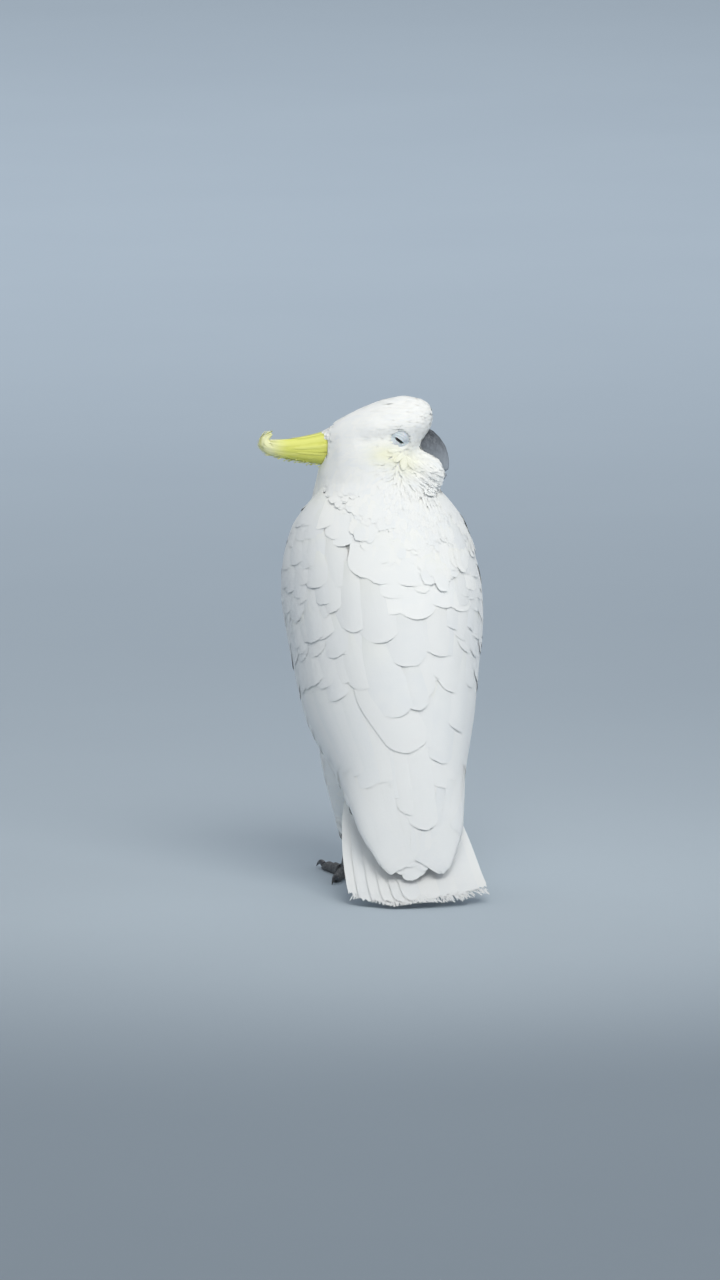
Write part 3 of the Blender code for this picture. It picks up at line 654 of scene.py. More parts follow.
@dataclass
class Lot:
    """Feathers to be laid: half widths, heights of roots and tips, shape, and what frays and shades them."""

    half: Array
    low: Array | float
    high: Array
    shape: Vane
    rng: np.random.Generator
    # How much one edge stands over the other.
    tilt: Array | float = 0.0

    def opened(self, axis: Array, normal: Array) -> Array:
        """Opens the vanes to both sides of their shafts.

        Args:
            axis: points of each shaft, by feather and row.
            normal: the way out of the form there.

        Returns:
            Each point's way off the shaft, by feather, row and column.
        """
        shape, half = self.shape, self.half[:, None, None]
        t, sweep = shape.shares[None, :, None], shape.sweep[None, None, :]
        full = shape.root_width + (1 - shape.root_width) * ease(0.0, shape.widest, t)
        clumps = self.rng.random((len(half), 1, shape.columns // 3 + 1)).repeat(3, axis=2)
        loose = (1 - shape.clump) * self.rng.random((len(half), 1, shape.columns))
        worn = (shape.clump * clumps[:, :, : shape.columns] + loose) * shape.fray * t**10
        self.across = half * full * np.sin(sweep)
        self.back = shape.tip * half * (1 - np.cos(sweep)) * t**1.5 + worn
        self.lengths = np.linalg.norm(np.diff(axis, axis=1), axis=-1).sum(1)
        forward = unit(np.gradient(axis, axis=1))
        side = unit(np.cross(forward, normal))
        return side[:, :, None] * self.across[..., None] - forward[:, :, None] * self.back[..., None]

    def heights(self) -> Array:
        """How far each point stands off what its feather lies on, by feather, row and column."""
        shape = self.shape
        t, s = shape.shares[None, :, None], np.sin(shape.sweep)[None, None, :]
        parts = (part + np.zeros(len(self.half)) for part in (self.low, self.high, self.tilt))
        low, high, tilt = (part[:, None, None] for part in parts)
        run = low + (high - low) * t**shape.rise
        keel = shape.shaft * np.exp(-((s / shape.shaft_half) ** 2)) * (1 - 0.8 * t)
        return run - shape.cup * s**2 - shape.droop * ease(shape.droop_from, 1.0, t) + tilt * s + keel

    def batch(self, points: Array, facing: Array) -> Batch:
        """The laid points with their places on the vane, and the way out of what they lie on. No tint yet."""
        along = self.lengths[:, None, None] * self.shape.shares[None, :, None] - self.back
        middle = points[:, 0, self.shape.columns // 2]
        shade = self.rng.random(len(points))
        return Batch(points, self.across, along, middle, shade, np.zeros(points.shape[:3]), facing)


class Guide:
    """A form known by two coordinates, on which feathers are laid by those coordinates."""

    nudge = (1e-4, 0.05)

    def point(self, u: Array, v: Array) -> Array:
        """The world point at each pair of coordinates."""
        raise NotImplementedError

    def outward(self, u: Array, v: Array) -> Array:
        """Roughly the way out of the form at each pair of coordinates."""
        raise NotImplementedError

    def slopes(self, u: Array, v: Array) -> tuple[Array, Array, Array]:
        """How the point moves with each coordinate, and the way out.

        Args:
            u: first coordinates.
            v: second coordinates.

        Returns:
            The move with u, the move with v, and the unit normal.
        """
        du, dv = self.nudge
        along_u = (self.point(u + du, v) - self.point(u - du, v)) / (2 * du)
        along_v = (self.point(u, v + dv) - self.point(u, v - dv)) / (2 * dv)
        normal = unit(np.cross(along_v, along_u))
        facing = np.sign(np.sum(normal * self.outward(u, v), axis=-1, keepdims=True))
        return along_u, along_v, normal * np.where(facing == 0, 1, facing)

    def lay(self, roots: tuple, tips: tuple, lot: Lot, bow: Array | float = 0.0) -> Batch:
        """Lays feathers by the coordinates of their ends.

        Args:
            roots: the roots' first and second coordinates.
            tips: the tips'.
            lot: the feathers.
            bow: how far the second coordinate swings out half way.

        Returns:
            The laid feathers.
        """
        t, swing = lot.shape.shares[None], np.sin(math.pi * lot.shape.shares)[None]
        u0, v0, u1, v1, bow = ((part + np.zeros(len(lot.half)))[:, None] for part in (*roots, *tips, bow))
        u, v = u0 * (1 - t) + u1 * t, v0 * (1 - t) + v1 * t + bow * swing
        along_u, along_v, normal = self.slopes(u, v)
        move = lot.opened(self.point(u, v), normal)
        both = ((along_u, along_u), (along_u, along_v), (along_v, along_v))
        uu, uv, vv = (np.sum(a * b, -1)[:, :, None] for a, b in both)
        on_u, on_v = (np.sum(move * one[:, :, None], -1) for one in (along_u, along_v))
        det = uu * vv - uv * uv
        at_u = u[:, :, None] + (vv * on_u - uv * on_v) / det
        at_v = v[:, :, None] + (uu * on_v - uv * on_u) / det
        out = self.slopes(at_u, at_v)[2]
        return lot.batch(self.point(at_u, at_v) + out * lot.heights()[..., None], out)


@dataclass
class BodyGuide(Guide):
    """The form of back, shoulders and folded wings, read by place up the back and angle round the body."""

    # Place up the back, the section's middle along X, its half width and its depth.
    sections: tuple[tuple[float, ...], ...] = (
        (-0.012, 0.0, 0.012, 0.005),
        (0.0, 0.0, 0.0285, 0.009),
        (0.018, 0.0, 0.038, 0.018),
        (0.038, 0.0002, 0.0462, 0.032),
        (0.053, 0.0005, 0.0492, 0.044),
        (0.072, 0.001, 0.053, 0.064),
        (0.097, 0.0018, 0.0572, 0.088),
        (0.151, 0.0022, 0.0728, 0.131),
        (0.187, 0.0032, 0.0788, 0.146),
        (0.227, 0.0045, 0.0845, 0.152),
        (0.26, 0.0036, 0.0876, 0.147),
        (0.292, 0.0014, 0.085, 0.132),
        (0.321, 0.0002, 0.0765, 0.11),
        (0.337, -0.0004, 0.0655, 0.094),
        (0.35, -0.0006, 0.053, 0.08),
    )
    lean: float = 22.0
    wing_tips: Triple = (0.0, -0.14, 0.03)

    def __post_init__(self) -> None:
        """Keeps the table and the body's own axes."""
        self.table = np.array(self.sections)
        angle = math.radians(self.lean)
        self.up = np.array((0.0, math.sin(angle), math.cos(angle)))
        self.belly = np.array((0.0, math.cos(angle), -math.sin(angle)))
        self.start = np.array(self.wing_tips) + HEAD.shift

    def point(self, u: Array, v: Array) -> Array:
        """The point at a place up the back and an angle from its middle line."""
        middle, wide, deep = np.moveaxis(read(self.table, u), -1, 0)
        angle = np.radians(v)
        out = self.start + self.up * u[..., None] + self.belly * (deep * (1 - np.cos(angle)) / 2)[..., None]
        out[..., 0] += middle + wide * np.sin(angle)
        return out

    def outward(self, u: Array, v: Array) -> Array:
        """Away from the middle of the body's section."""
        middle, _, deep = np.moveaxis(read(self.table, u), -1, 0)
        centre = self.start + self.up * u[..., None] + self.belly * (deep / 2)[..., None]
        centre[..., 0] += middle
        return self.point(u, v) - centre

    def place_and_angle(self, points: Array) -> tuple[Array, Array]:
        """Where world points lie, by place up the back and angle round the body."""
        from_start = points - self.start
        place = from_start @ self.up
        middle, wide, deep = np.moveaxis(read(self.table, place), -1, 0)
        inward = 1 - 2 * (from_start @ self.belly) / np.maximum(deep, 1e-4)
        return place, np.degrees(np.arctan2((from_start[:, 0] - middle) / np.maximum(wide, 1e-4), inward))


@dataclass
class TailGuide(Guide):
    """The upper face of the tail fan, read by share of its length and share of its half width."""

    # Share of the length, Y and Z of the middle, half width, thickness and arch.
    sections: tuple[tuple[float, ...], ...] = (
        (0.0, -0.026, 0.125, 0.02, 0.012, 0.007),
        (0.25, -0.056, 0.091, 0.046, 0.0095, 0.009),
        (0.5, -0.09, 0.0565, 0.0555, 0.007, 0.008),
        (0.8, -0.133, 0.0185, 0.0595, 0.005, 0.005),
        (1.0, -0.1665, 0.003, 0.061, 0.0036, 0.003),
    )
    lift: float = 0.01
    past_end: Triple = (0.0, -0.17, 0.0)
    step: float = 0.01
    nudge = (1e-3, 1e-3)

    def __post_init__(self) -> None:
        """Keeps the table."""
        self.table = np.array(self.sections)

    def point(self, u: Array, v: Array) -> Array:
        """The point at a share of the length and a share of the half width."""
        y, z, wide, thick, arch = np.moveaxis(read(self.table, u), -1, 0)
        over = self.outward(u, v)
        lift = self.lift * (np.maximum(v, 0.0) * u) ** 2
        middle = np.stack([wide * v, y, z + lift], -1) + HEAD.shift
        past = np.maximum(u - 1.0, 0.0)[..., None] * np.array(self.past_end)
        return middle + past + over * (thick / 2 - arch * v * v)[..., None]

    def outward(self, u: Array, v: Array) -> Array:
        """Square to the tail's slope, upwards."""
        low, high = np.clip(u - self.step, 0, 1 - self.step), np.clip(u + self.step, self.step, 1)
        run = read(self.table, high)[..., :2] - read(self.table, low)[..., :2]
        return unit(np.stack([np.zeros_like(u), run[..., 1], -run[..., 0]], -1))


@dataclass
class CrestGuide(Guide):
    """The folded crest, read by share of its length and angle round it, 0 at its top."""

    # In the head's own axes: forwards and up of the middle, half height and half width.
    sections: tuple[tuple[float, ...], ...] = (
        (-0.03, 0.003, 0.0128, 0.011),
        (-0.046, -0.003, 0.015, 0.0115),
        (-0.062, -0.0105, 0.0148, 0.0105),
        (-0.078, -0.0122, 0.0118, 0.0085),
        (-0.094, -0.0124, 0.0088, 0.0066),
        (-0.107, -0.0118, 0.007, 0.005),
        (-0.116, -0.0095, 0.0056, 0.0036),
        (-0.1185, -0.005, 0.0036, 0.0026),
        (-0.1155, -0.0008, 0.0018, 0.0016),
        (-0.1105, 0.0002, 0.0007, 0.0007),
    )
    step: float = 0.02
    nudge = (1e-3, 0.5)

    def __post_init__(self) -> None:
        """Numbers the stations by the way along them, from 0 where the crest leaves the head."""
        rows = np.array(self.sections)
        run = np.concatenate([[0.0], np.cumsum(np.linalg.norm(np.diff(rows[:, :2], axis=0), axis=1))])
        self.table = np.column_stack([(run - run[1]) / (run[-1] - run[1]), rows])

    def centre(self, u: Array) -> tuple[Array, Array, Array]:
        """The middle line, its upward way across, and its half height and half width."""
        station = read(self.table, u)
        ahead = read(self.table, np.minimum(u + self.step, 1.0))
        behind = read(self.table, np.maximum(u - self.step, self.table[0, 0]))
        run = unit(ahead[..., :2] - behind[..., :2])
        up = np.stack([run[..., 1], np.zeros_like(u), -run[..., 0]], -1)
        middle = np.stack([station[..., 0], np.zeros_like(u), station[..., 1]], -1)
        return middle, up, station[..., 2:]

    def point(self, u: Array, v: Array) -> Array:
        """The point at a share of the length and an angle round it."""
        middle, up, half = self.centre(u)
        angle = np.radians(v)[..., None]
        side = np.array((0.0, -1.0, 0.0))
        top = middle + up * half[..., :1] * np.cos(angle)
        return HEAD.outward(top + side * half[..., 1:] * np.sin(angle))

    def outward(self, u: Array, v: Array) -> Array:
        """Away from the middle line."""
        return self.point(u, v) - HEAD.outward(self.centre(u)[0])


@dataclass
class Skin:
    """The one skin under the coat: its mesh, its own unwrap, and feathers laid by walking over it."""

    finish: Material
    # The guide of the back, for the feathers' places.
    body: BodyGuide
    trunk_flesh: tuple[str, ...] = ("trunk", "neck", "head", "thigh_left", "thigh_right")
    covert_flesh: tuple[str, ...] = ("wing_left_coverts", "wing_right_coverts")
    wing_flesh: tuple[str, ...] = ("wing_left_secondaries", "wing_right_secondaries")
    voxel: float = 0.0023
    join: float = 0.0006
    rounds: int = 4
    depth_head: float = 0.0012
    depth_body: float = 0.003
    depth_wing: float = 0.0026
    # From the bill's root outwards, where the coat deepens from the head's to the body's.
    deepens: Pair = (0.06, 0.15)
    # Where the wings press it down: their inner and outer edges by angle, and their top by place.
    wing_inner: Pair = (20, 34)
    wing_outer: Pair = (118, 100)
    wing_top: Pair = (0.3, 0.27)
    unwrap_angle: float = 66.0
    unwrap_gap: float = 0.004
    normal_rounds: int = 6
    # Roots thrown for each one wanted, so that few gaps are left.
    thrown: int = 7
    # Further out of the head's middle plane than any of its skin.
    outside: float = 0.06
    # In the head's own axes, forwards and up: start, end, radius and rise of each fold.
    face_folds: tuple[tuple[Pair, Pair, float, float], ...] = (
        ((0.016, 0.012), (-0.03, 0.0095), 0.0055, 0.0016),
        ((-0.007, 0.0025), (-0.034, -0.001), 0.0042, -0.002),
        ((0.008, -0.014), (0.037, -0.027), 0.002, -0.001),
        ((0.006, -0.025), (0.032, -0.04), 0.002, -0.001),
        ((0.003, -0.012), (0.0, -0.04), 0.006, 0.0008),
    )
    neck_folds: tuple[tuple[Pair, Pair, float, float], ...] = (
        ((-0.072, -0.031), (-0.026, -0.033), 0.003, 0.0005),
        ((-0.068, -0.0425), (0.014, -0.044), 0.0034, 0.0006),
        ((-0.07, -0.056), (0.006, -0.058), 0.0038, 0.0006),
    )
    # How wide and how deep the eyes' sockets are.
    socket: Pair = (0.0075, -0.0018)
    # Off the head's middle plane, where the face's folds start and are whole.
    cheeks: Pair = (0.008, 0.015)

    def __post_init__(self) -> None:
        """Builds the skin."""
        self.flesh = self.trunk_flesh + self.covert_flesh
        mesh = remeshed("skin", self.flesh + self.wing_flesh, self.voxel, self.join, self.rounds)
        points = rows_of(mesh.vertices, "co")
        depth = self.depth(points) + self.join - self.folds(points)
        sunk = points - rows_of(mesh.vertex_normals, "vector") * depth[:, None]
        self.piece = reshaped("skin", mesh, sunk, self.finish)
        self.unwrap()
        self.keep_faces()
        self.wings = self.tree_of(self.wing_flesh + self.covert_flesh)
        self.trunk = self.tree_of(self.trunk_flesh)

    def tree_of(self, nodes: tuple[str, ...]) -> BVHTree:
        """A tree of some solids' faces."""
        points, faces = [], []
        for node in nodes:
            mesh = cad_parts[node].data
            faces += [[corner + len(points) for corner in face.vertices] for face in mesh.polygons]
            points += rows_of(mesh.vertices, "co").tolist()
        return BVHTree.FromPolygons(points, faces)

    def on_wing(self, points: Array) -> Array:
        """Whether each point lies nearer to a wing than to the trunk."""
        spots = points.tolist()
        gaps = ((self.wings.find_nearest(spot)[3], self.trunk.find_nearest(spot)[3]) for spot in spots)
        return np.array([wing < trunk for wing, trunk in gaps])

    def depth(self, points: Array) -> Array:
        """How deep the coat is over each point."""
        share = ease(*self.deepens, HEAD.from_bill(points))
        deep = self.depth_head + (self.depth_body - self.depth_head) * share
        place, angle = self.body.place_and_angle(points)
        across = ease(*self.wing_inner, np.abs(angle)) * ease(*self.wing_outer, np.abs(angle))
        under_wing = across * ease(*self.wing_top, place)
        return deep + (self.depth_wing - deep) * under_wing

    def folds(self, points: Array) -> Array:
        """How far brow, eye furrow, cheek lobes and neck folds stand out, or sink in, at each point."""
        local = HEAD.inward(points)
        flat = local[:, (0, 2)]
        height = np.zeros(len(points))
        sides = ease(*self.cheeks, np.abs(local[:, 1]))
        for lines, share_of in ((self.face_folds, sides), (self.neck_folds, 1.0)):
            for start, end, radius, rise in lines:
                a, b = np.array(start), np.array(end)
                share = np.clip((flat - a) @ (b - a) / ((b - a) @ (b - a)), 0, 1)
                off = np.linalg.norm(flat - a - share[:, None] * (b - a), axis=1)
                height += share_of * rise * np.exp(-((off / radius) ** 2))
        reach, sink = self.socket
        return height + sides * sink * np.exp(-(np.sum(flat**2, 1) / reach**2))

    def height_over(self, across: Array, up: Array, sign: float) -> Array:
        """How far the skin stands out of the head's middle plane.

        Args:
            across: places towards the bill.
            up: places upwards.
            sign: plus one on the head's left side.

        Returns:
            The heights, one for each place.
        """
        starts = HEAD.outward(np.stack([across, np.full(len(across), self.outside * sign), up], -1))
        inwards = Vector(-sign * HEAD.axes[1])
        return self.outside - np.array([self.tree.ray_cast(start, inwards)[3] for start in starts.tolist()])

    def unwrap(self) -> None:
        """Flattens the skin's own shape into the bake map."""
        self.piece.data.uv_layers.new(name=BAKE_MAP)
        bpy.context.view_layer.objects.active = self.piece
        self.piece.select_set(True)
        bpy.ops.object.mode_set(mode="EDIT")
        bpy.ops.mesh.select_all(action="SELECT")
        bpy.ops.uv.smart_project(angle_limit=math.radians(self.unwrap_angle), island_margin=self.unwrap_gap)
        bpy.ops.object.mode_set(mode="OBJECT")
        self.piece.select_set(False)

    def keep_faces(self) -> None:
        """Keeps triangles, normals and map places for laying feathers."""
        mesh = self.piece.data
        mesh.calc_loop_triangles()
        count = len(mesh.loop_triangles)
        corners, loops = np.empty(count * 3, np.int32), np.empty(count * 3, np.int32)
        mesh.loop_triangles.foreach_get("vertices", corners)
        mesh.loop_triangles.foreach_get("loops", loops)
        self.corners = corners.reshape(-1, 3)
        places = np.empty(len(mesh.loops) * 2, np.float32)
        mesh.uv_layers[BAKE_MAP].data.foreach_get("uv", places)
        self.places = places.reshape(-1, 2)[loops.reshape(-1, 3)].mean(1)
        self.points = rows_of(mesh.vertices, "co")
        normals = rows_of(mesh.vertex_normals, "vector")
        for _ in range(self.normal_rounds):
            total = np.zeros_like(normals)
            shared = normals[self.corners].sum(1)
            for k in range(3):
                np.add.at(total, self.corners[:, k], shared)
            normals = unit(total)
        self.normals = normals
        self.tree = BVHTree.FromPolygons(self.points.tolist(), self.corners.tolist())

    def nearest(self, points: Array) -> tuple[Array, Array, Array]:
        """The skin's nearest points.

        Args:
            points: one row each.

        Returns:
            The points on the skin, its smooth normals there, and the faces they are on.
        """
        found = [self.tree.find_nearest(point) for point in points.tolist()]
        on = np.array([hit[0] for hit in found])
        face = np.array([hit[2] for hit in found])
        corners = self.corners[face]
        weight = 1 / (np.linalg.norm(self.points[corners] - on[:, None], axis=2) + 3e-4)
        normal = unit((self.normals[corners] * weight[..., None]).sum(1))
        return on, normal, face

    def scatter(
        self, spacing: Callable[[Array], Array], keep: Callable[[Array], Array], rng: np.random.Generator
    ) -> Array:
        """Spreads roots evenly over the skin.

        Args:
            spacing: how far apart roots stand at each point.
            keep: whether a root may stand at each point.
            rng: what spreads them.

        Returns:
            The roots.
        """
        a, b, c = (self.points[self.corners[:, k]] for k in range(3))
        area = np.linalg.norm(np.cross(b - a, c - a), axis=1) / 2
        want = area / spacing((a + b + c) / 3) ** 2
        want = np.where(keep((a + b + c) / 3), want, 0.0)
        count = int(want.sum() * self.thrown)
        face = rng.choice(len(area), count, p=want / want.sum())
        r, s = np.sqrt(rng.random(count)), rng.random(count)
        spots = a[face] * (1 - r)[:, None] + b[face] * (r * (1 - s))[:, None] + c[face] * (r * s)[:, None]
        reach = spacing(spots)
        tree = KDTree(count)
        for index, spot in enumerate(spots.tolist()):
            tree.insert(spot, index)
        tree.balance()
        alive, chosen = np.ones(count, bool), []
        for index, spot in enumerate(spots.tolist()):
            if alive[index]:
                chosen.append(index)
                for _, near, _ in tree.find_range(spot, reach[index]):
                    alive[near] = False
        return spots[chosen]

    def walk(
        self, roots: Array, ways: Callable[[Array, Array], Array], lengths: Array, shape: Vane, turn: Array
    ) -> Array:
        """Walks each shaft over the skin.

        Args:
            roots: where the shafts start.
            ways: the lie of the coat at points with normals.
            lengths: how long each shaft is.
            shape: the feathers' shape, for its rows.
            turn: how far each shaft is turned from the lie, in radians.

        Returns:
            Shaft points by feather and row.
        """
        at, normal, _ = self.nearest(roots)
        way = ways(at, normal)
        way = unit(way * np.cos(turn)[:, None] + np.cross(normal, way) * np.sin(turn)[:, None])
        axis = [at]
        for step in np.diff(shape.shares):
            at, normal, _ = self.nearest(at + way * (lengths * step)[:, None])
            way = unit(way - normal * np.sum(way * normal, 1, keepdims=True))
            axis.append(at)
        return np.stack(axis, 1)

    def lay(self, axes: Array, lot: Lot) -> Batch:
        """Lays feathers whose shafts' points have been walked."""
        normal = self.nearest(axes.reshape(-1, 3))[1].reshape(axes.shape)
        spots = axes[:, :, None] + lot.opened(axes, normal)
        on, out, _ = self.nearest(spots.reshape(-1, 3))
        points = on + out * lot.heights().reshape(-1, 1)
        return lot.batch(points.reshape(spots.shape), out.reshape(spots.shape))


@dataclass
class Coat:
    """One piece of the coat: batches of feathers joined in a single mesh."""

    name: str
    skin: Skin
    finish: Material
    # How far the feathers shade as one surface, 0 for each on its own.
    sleek: float
    slot: str = "plumage"
    floor: float = 0.0004
    wash_ends: float = 0.6
    batches: list[Batch] = field(default_factory=list)

    def take(self, batch: Batch, tint: Callable | None = None, base_wash: float = 0.0) -> None:
        """Adds a batch.

        Args:
            batch: the laid feathers.
            tint: the yellow wash by place.
            base_wash: how much wash each feather has at its root, hidden by those above.
        """
        share = batch.along / np.maximum(batch.along.max(axis=(1, 2), keepdims=True), 1e-9)
        batch.tint = base_wash * (1 - ease(0.0, self.wash_ends, share))
        if tint is not None:
            batch.tint = batch.tint + tint(batch.points.reshape(-1, 3)).reshape(batch.tint.shape)
        self.batches.append(batch)

    def patches(self, batch: Batch) -> Array:
        """Each point's place on the bake map: a small patch of the skin's, where its feather grows."""
        _, rows, columns, _ = batch.points.shape
        across, along = (np.linspace(-0.5, 0.5, count) for count in (columns, rows))
        patch = np.stack([part.reshape(-1) for part in np.meshgrid(across, along)], -1) * PATCH
        return (self.skin.places[self.skin.nearest(batch.roots)[2]][:, None] + patch).reshape(-1, 2)

    def finish_piece(self, *nodes: str) -> None:
        """Joins the batches and hands the piece over.

        Args:
            nodes: the solids it stands for.
        """
        spots = np.concatenate([batch.points.reshape(-1, 3) for batch in self.batches])
        spots[:, 2] = np.maximum(spots[:, 2], self.floor)
        outwards = np.concatenate([batch.facing.reshape(-1, 3) for batch in self.batches])
        quads, start = [], 0
        for batch in self.batches:
            count, rows, columns = batch.points.shape[:3]
            first = start + np.arange(count) * rows * columns
            quads.append((grid_quads(rows, columns)[None] + first[:, None, None]).reshape(-1, 4))
            start += count * rows * columns
        faces = np.concatenate(quads)
        corners = spots[faces]
        way = np.cross(corners[:, 2] - corners[:, 0], corners[:, 3] - corners[:, 1])
        turned = np.sum(way * outwards[faces].sum(axis=1), axis=1) < 0
        faces[turned] = faces[turned][:, ::-1]
        piece = mesh_piece(self.name, spots, faces, self.finish)
        corner = np.empty(len(piece.data.loops), np.int32)
        piece.data.loops.foreach_get("vertex_index", corner)
        bake = [self.patches(batch) for batch in self.batches]
        vane = [(np.stack([batch.across, batch.along], -1) / MM).reshape(-1, 2) for batch in self.batches]
        for title, places in ((BAKE_MAP, bake), (VANE_MAP, vane)):
            layer = piece.data.uv_layers.new(name=title)
            layer.data.foreach_set("uv", np.concatenate(places)[corner].astype(np.float32).reshape(-1))
        lot = [np.repeat(batch.lot, batch.tint[0].size) for batch in self.batches]
        for title, numbers in (("lot", lot), ("tint", [batch.tint.reshape(-1) for batch in self.batches])):
            attribute = piece.data.attributes.new(title, "FLOAT", "POINT")
            attribute.data.foreach_set("value", np.concatenate(numbers).astype(np.float32))
        own = rows_of(piece.data.vertex_normals, "vector")
        own *= np.where(np.sum(own * outwards, 1, keepdims=True) < 0, -1.0, 1.0)
        shading = unit(own + (outwards - own) * self.sleek)
        piece.data.normals_split_custom_set_from_vertices(shading.tolist())
        hand_over(piece, self.slot, *nodes)


# ---- the body's coat


HEAD_FEATHER = Vane(rows=6, columns=3, widest=0.35, tip=3.2, cup=0.0001, fray=0.0, rise=0.35)
NAPE_FEATHER = Vane(rows=7, columns=7, widest=0.4, tip=1.5, cup=0.0002, fray=0.0008, rise=0.35)
BODY_FEATHER = Vane(rows=8, columns=9, tip=1.2, cup=0.0004, fray=0.003, rise=0.35)


@dataclass
class ContourCoat:
    """The small feathers that grow all over the skin, graded from the face to the belly."""

    skin: Skin
    body: BodyGuide
    # From the bill's root outwards: distance, length, half width, spacing.
    grading: tuple[tuple[float, ...], ...] = (
        (0.0, 0.006, 0.0009, 0.0014),
        (0.022, 0.008, 0.0011, 0.0016),
        (0.045, 0.011, 0.0017, 0.0021),
        (0.075, 0.015, 0.0034, 0.0029),
        (0.12, 0.023, 0.0072, 0.0056),
        (0.19, 0.032, 0.0115, 0.0082),
        (0.42, 0.038, 0.013, 0.0096),
    )
    # Where crown, nape, neck and body start, as distances from the bill's root, and the belly by place.
    borders: tuple[float, ...] = (0.036, 0.052, 0.075, 0.125)
    waist: float = 0.12
    sleek: float = 0.85
    # How much lengths, widths, turns and heights vary, and how much one edge lifts.
    vary: tuple[float, ...] = (0.1, 0.08, 0.1, 0.03)
    proud: float = 1.02
    root_depth: float = 0.45
    edge_lift: float = 0.0001
    base_wash: float = 0.05
    # On the legs: up and forwards, where they start and are whole, and how much smaller their feathers are.
    thigh_up: Pair = (0.16, 0.12)
    thigh_ahead: Pair = (-0.03, -0.01)
    thigh_small: float = 0.45
    bare_ring: Pair = (0.007, 0.0062)
    eye_side: float = 0.012
    # A feather that points at the eye ends at the ring: by how much past it, and no shorter than.
    towards_eye: float = 0.1
    past_ring: float = 0.0008
    shortest: float = 0.0014
    over_ring: float = 0.001
    # The cape's lower margin: angle from the middle of the back, and place up it.
    margin: tuple[Pair, ...] = (
        (-85, 0.328), (-60, 0.322), (-45, 0.312), (-30, 0.3), (-20, 0.276), (-12, 0.262), (-3, 0.243),
        (5, 0.237), (14, 0.235), (32, 0.238), (45, 0.25), (60, 0.268), (85, 0.296),
    )
    # What the back feathers and wings cover: angles, place under the margin, and place on the wing.
    back_half: float = 88
    tuck: float = 0.036
    wing_half: float = 116
    wing_top: float = 0.25
    head_ends: float = 0.09
    # Where the mantle takes the back's own form: place, angle and height over the margin.
    settle_top: Pair = (0.35, 0.334)
    settle_side: Pair = (97, 84)
    settle_low: Pair = (-0.03, -0.015)
    cape_top: float = 0.0024
    cape_reach: float = 0.1
    cape_root: float = 0.0016
    neck_top: float = -0.0001
    left_low: Pair = (-12, -32)
    left_drop: float = 0.6
    # Soft lobes of the cape, some 40 mm across.
    lobe_high: float = 0.0012
    lobe_turns: tuple[float, ...] = (0.155, 1.2, 95.0, 150.0, 0.04)
    # The lie of the coat, in the head's own axes and then the body's.
    head_lie: Triple = (-1.0, 0.0, -0.1)
    cheek_lie: Triple = (0.84, 0.0, -0.54)
    body_lie: Triple = (0.1, -0.35, -0.94)
    body_half: float = 0.08
    cheek: Spot = Spot((0.015, -0.026), (0.019, 0.018))
    cheek_edge: Pair = (0.1, 0.75)
    neck_edge: Pair = (-0.022, -0.05)
    neck_slant: float = 0.25
    puff: Spot = Spot((0.026, -0.034), (0.016, 0.014), 0.0016)
    washes: tuple[Spot, ...] = (
        Spot((-0.014, -0.013), (0.014, 0.009), 0.34),
        Spot((0.006, -0.022), (0.013, 0.011), 0.26),
    )
    # Leg feathers hung past each cuff: how many, where they start, how far they fall, and how wide.
    cuff: Vane = Vane(rows=9, columns=7, root_width=0.7, tip=1.2, cup=0.0005, fray=0.0022, rise=0.5)
    cuff_count: int = 44
    cuff_ring: float = 0.016
    cuff_starts: Pair = (0.003, 0.012)
    cuff_falls: Pair = (0.014, 0.019)
    cuff_halves: Pair = (0.004, 0.0055)
    cuff_flare: float = 0.0012
    cuff_close: float = 0.0045
    cuff_root: float = 0.0008
    flank: Vane = Vane(rows=10, columns=7, cup=0.0004, fray=0.0012, rise=0.35)
    flank_places: Triple = (0.06, 0.3, 0.013)
    flank_angles: tuple[float, ...] = (104, 112, 120, 128)
    flank_length: float = 0.034
    flank_halves: Pair = (0.012, 0.0145)
    flank_top: float = 0.0008
    flank_root: float = 0.0012
    flank_step: float = 0.00035
    # Loose cheek feathers: where their roots lie ahead and up, how many, how long and how far out.
    strand: Vane = Vane(rows=10, columns=7, root_width=0.6, widest=0.4, tip=2.2, cup=0.0005, fray=0.001)
    strand_areas: tuple[tuple[Pair, Pair, int, float, float], ...] = (
        ((-0.002, 0.014), (-0.036, -0.012), 70, 0.0115, 0.0025),
        ((0.012, 0.028), (-0.034, -0.018), 40, 0.0125, 0.0031),
        ((0.014, 0.03), (-0.041, -0.028), 60, 0.0115, 0.0034),
    )
    strand_out: float = 0.024
    strand_halves: Pair = (0.0012, 0.0022)
    strand_root: float = 0.0008
    strand_sleek: float = 0.3

    def __post_init__(self) -> None:
        """Keeps the tables."""
        self.table = np.array(self.grading)
        self.edge = np.array(self.margin)

    def above_margin(self, points: Array) -> Array:
        """How far up the back points lie over the cape's lower margin."""
        place, angle = self.body.place_and_angle(points)
        return place - np.interp(angle, self.edge[:, 0], self.edge[:, 1])

    def off_eye(self, points: Array) -> tuple[Array, Array]:
        """How far points lie outside the bare ring of the nearer eye, and the way towards that eye."""
        local = HEAD.inward(points)
        wide, high = self.bare_ring
        reach = np.hypot(local[:, 0] / wide, local[:, 2] / high)
        far = np.where(np.abs(local[:, 1]) > self.eye_side, (reach - 1) * wide, 1.0)
        towards = np.stack([-local[:, 0], np.zeros(len(points)), -local[:, 2]], 1)
        return far, unit(towards) @ HEAD.axes

    def on_thigh(self, points: Array) -> Array:
        """One on the legs, nought on the body."""
        local = points - HEAD.shift
        return ease(*self.thigh_up, local[:, 2]) * ease(*self.thigh_ahead, local[:, 1])

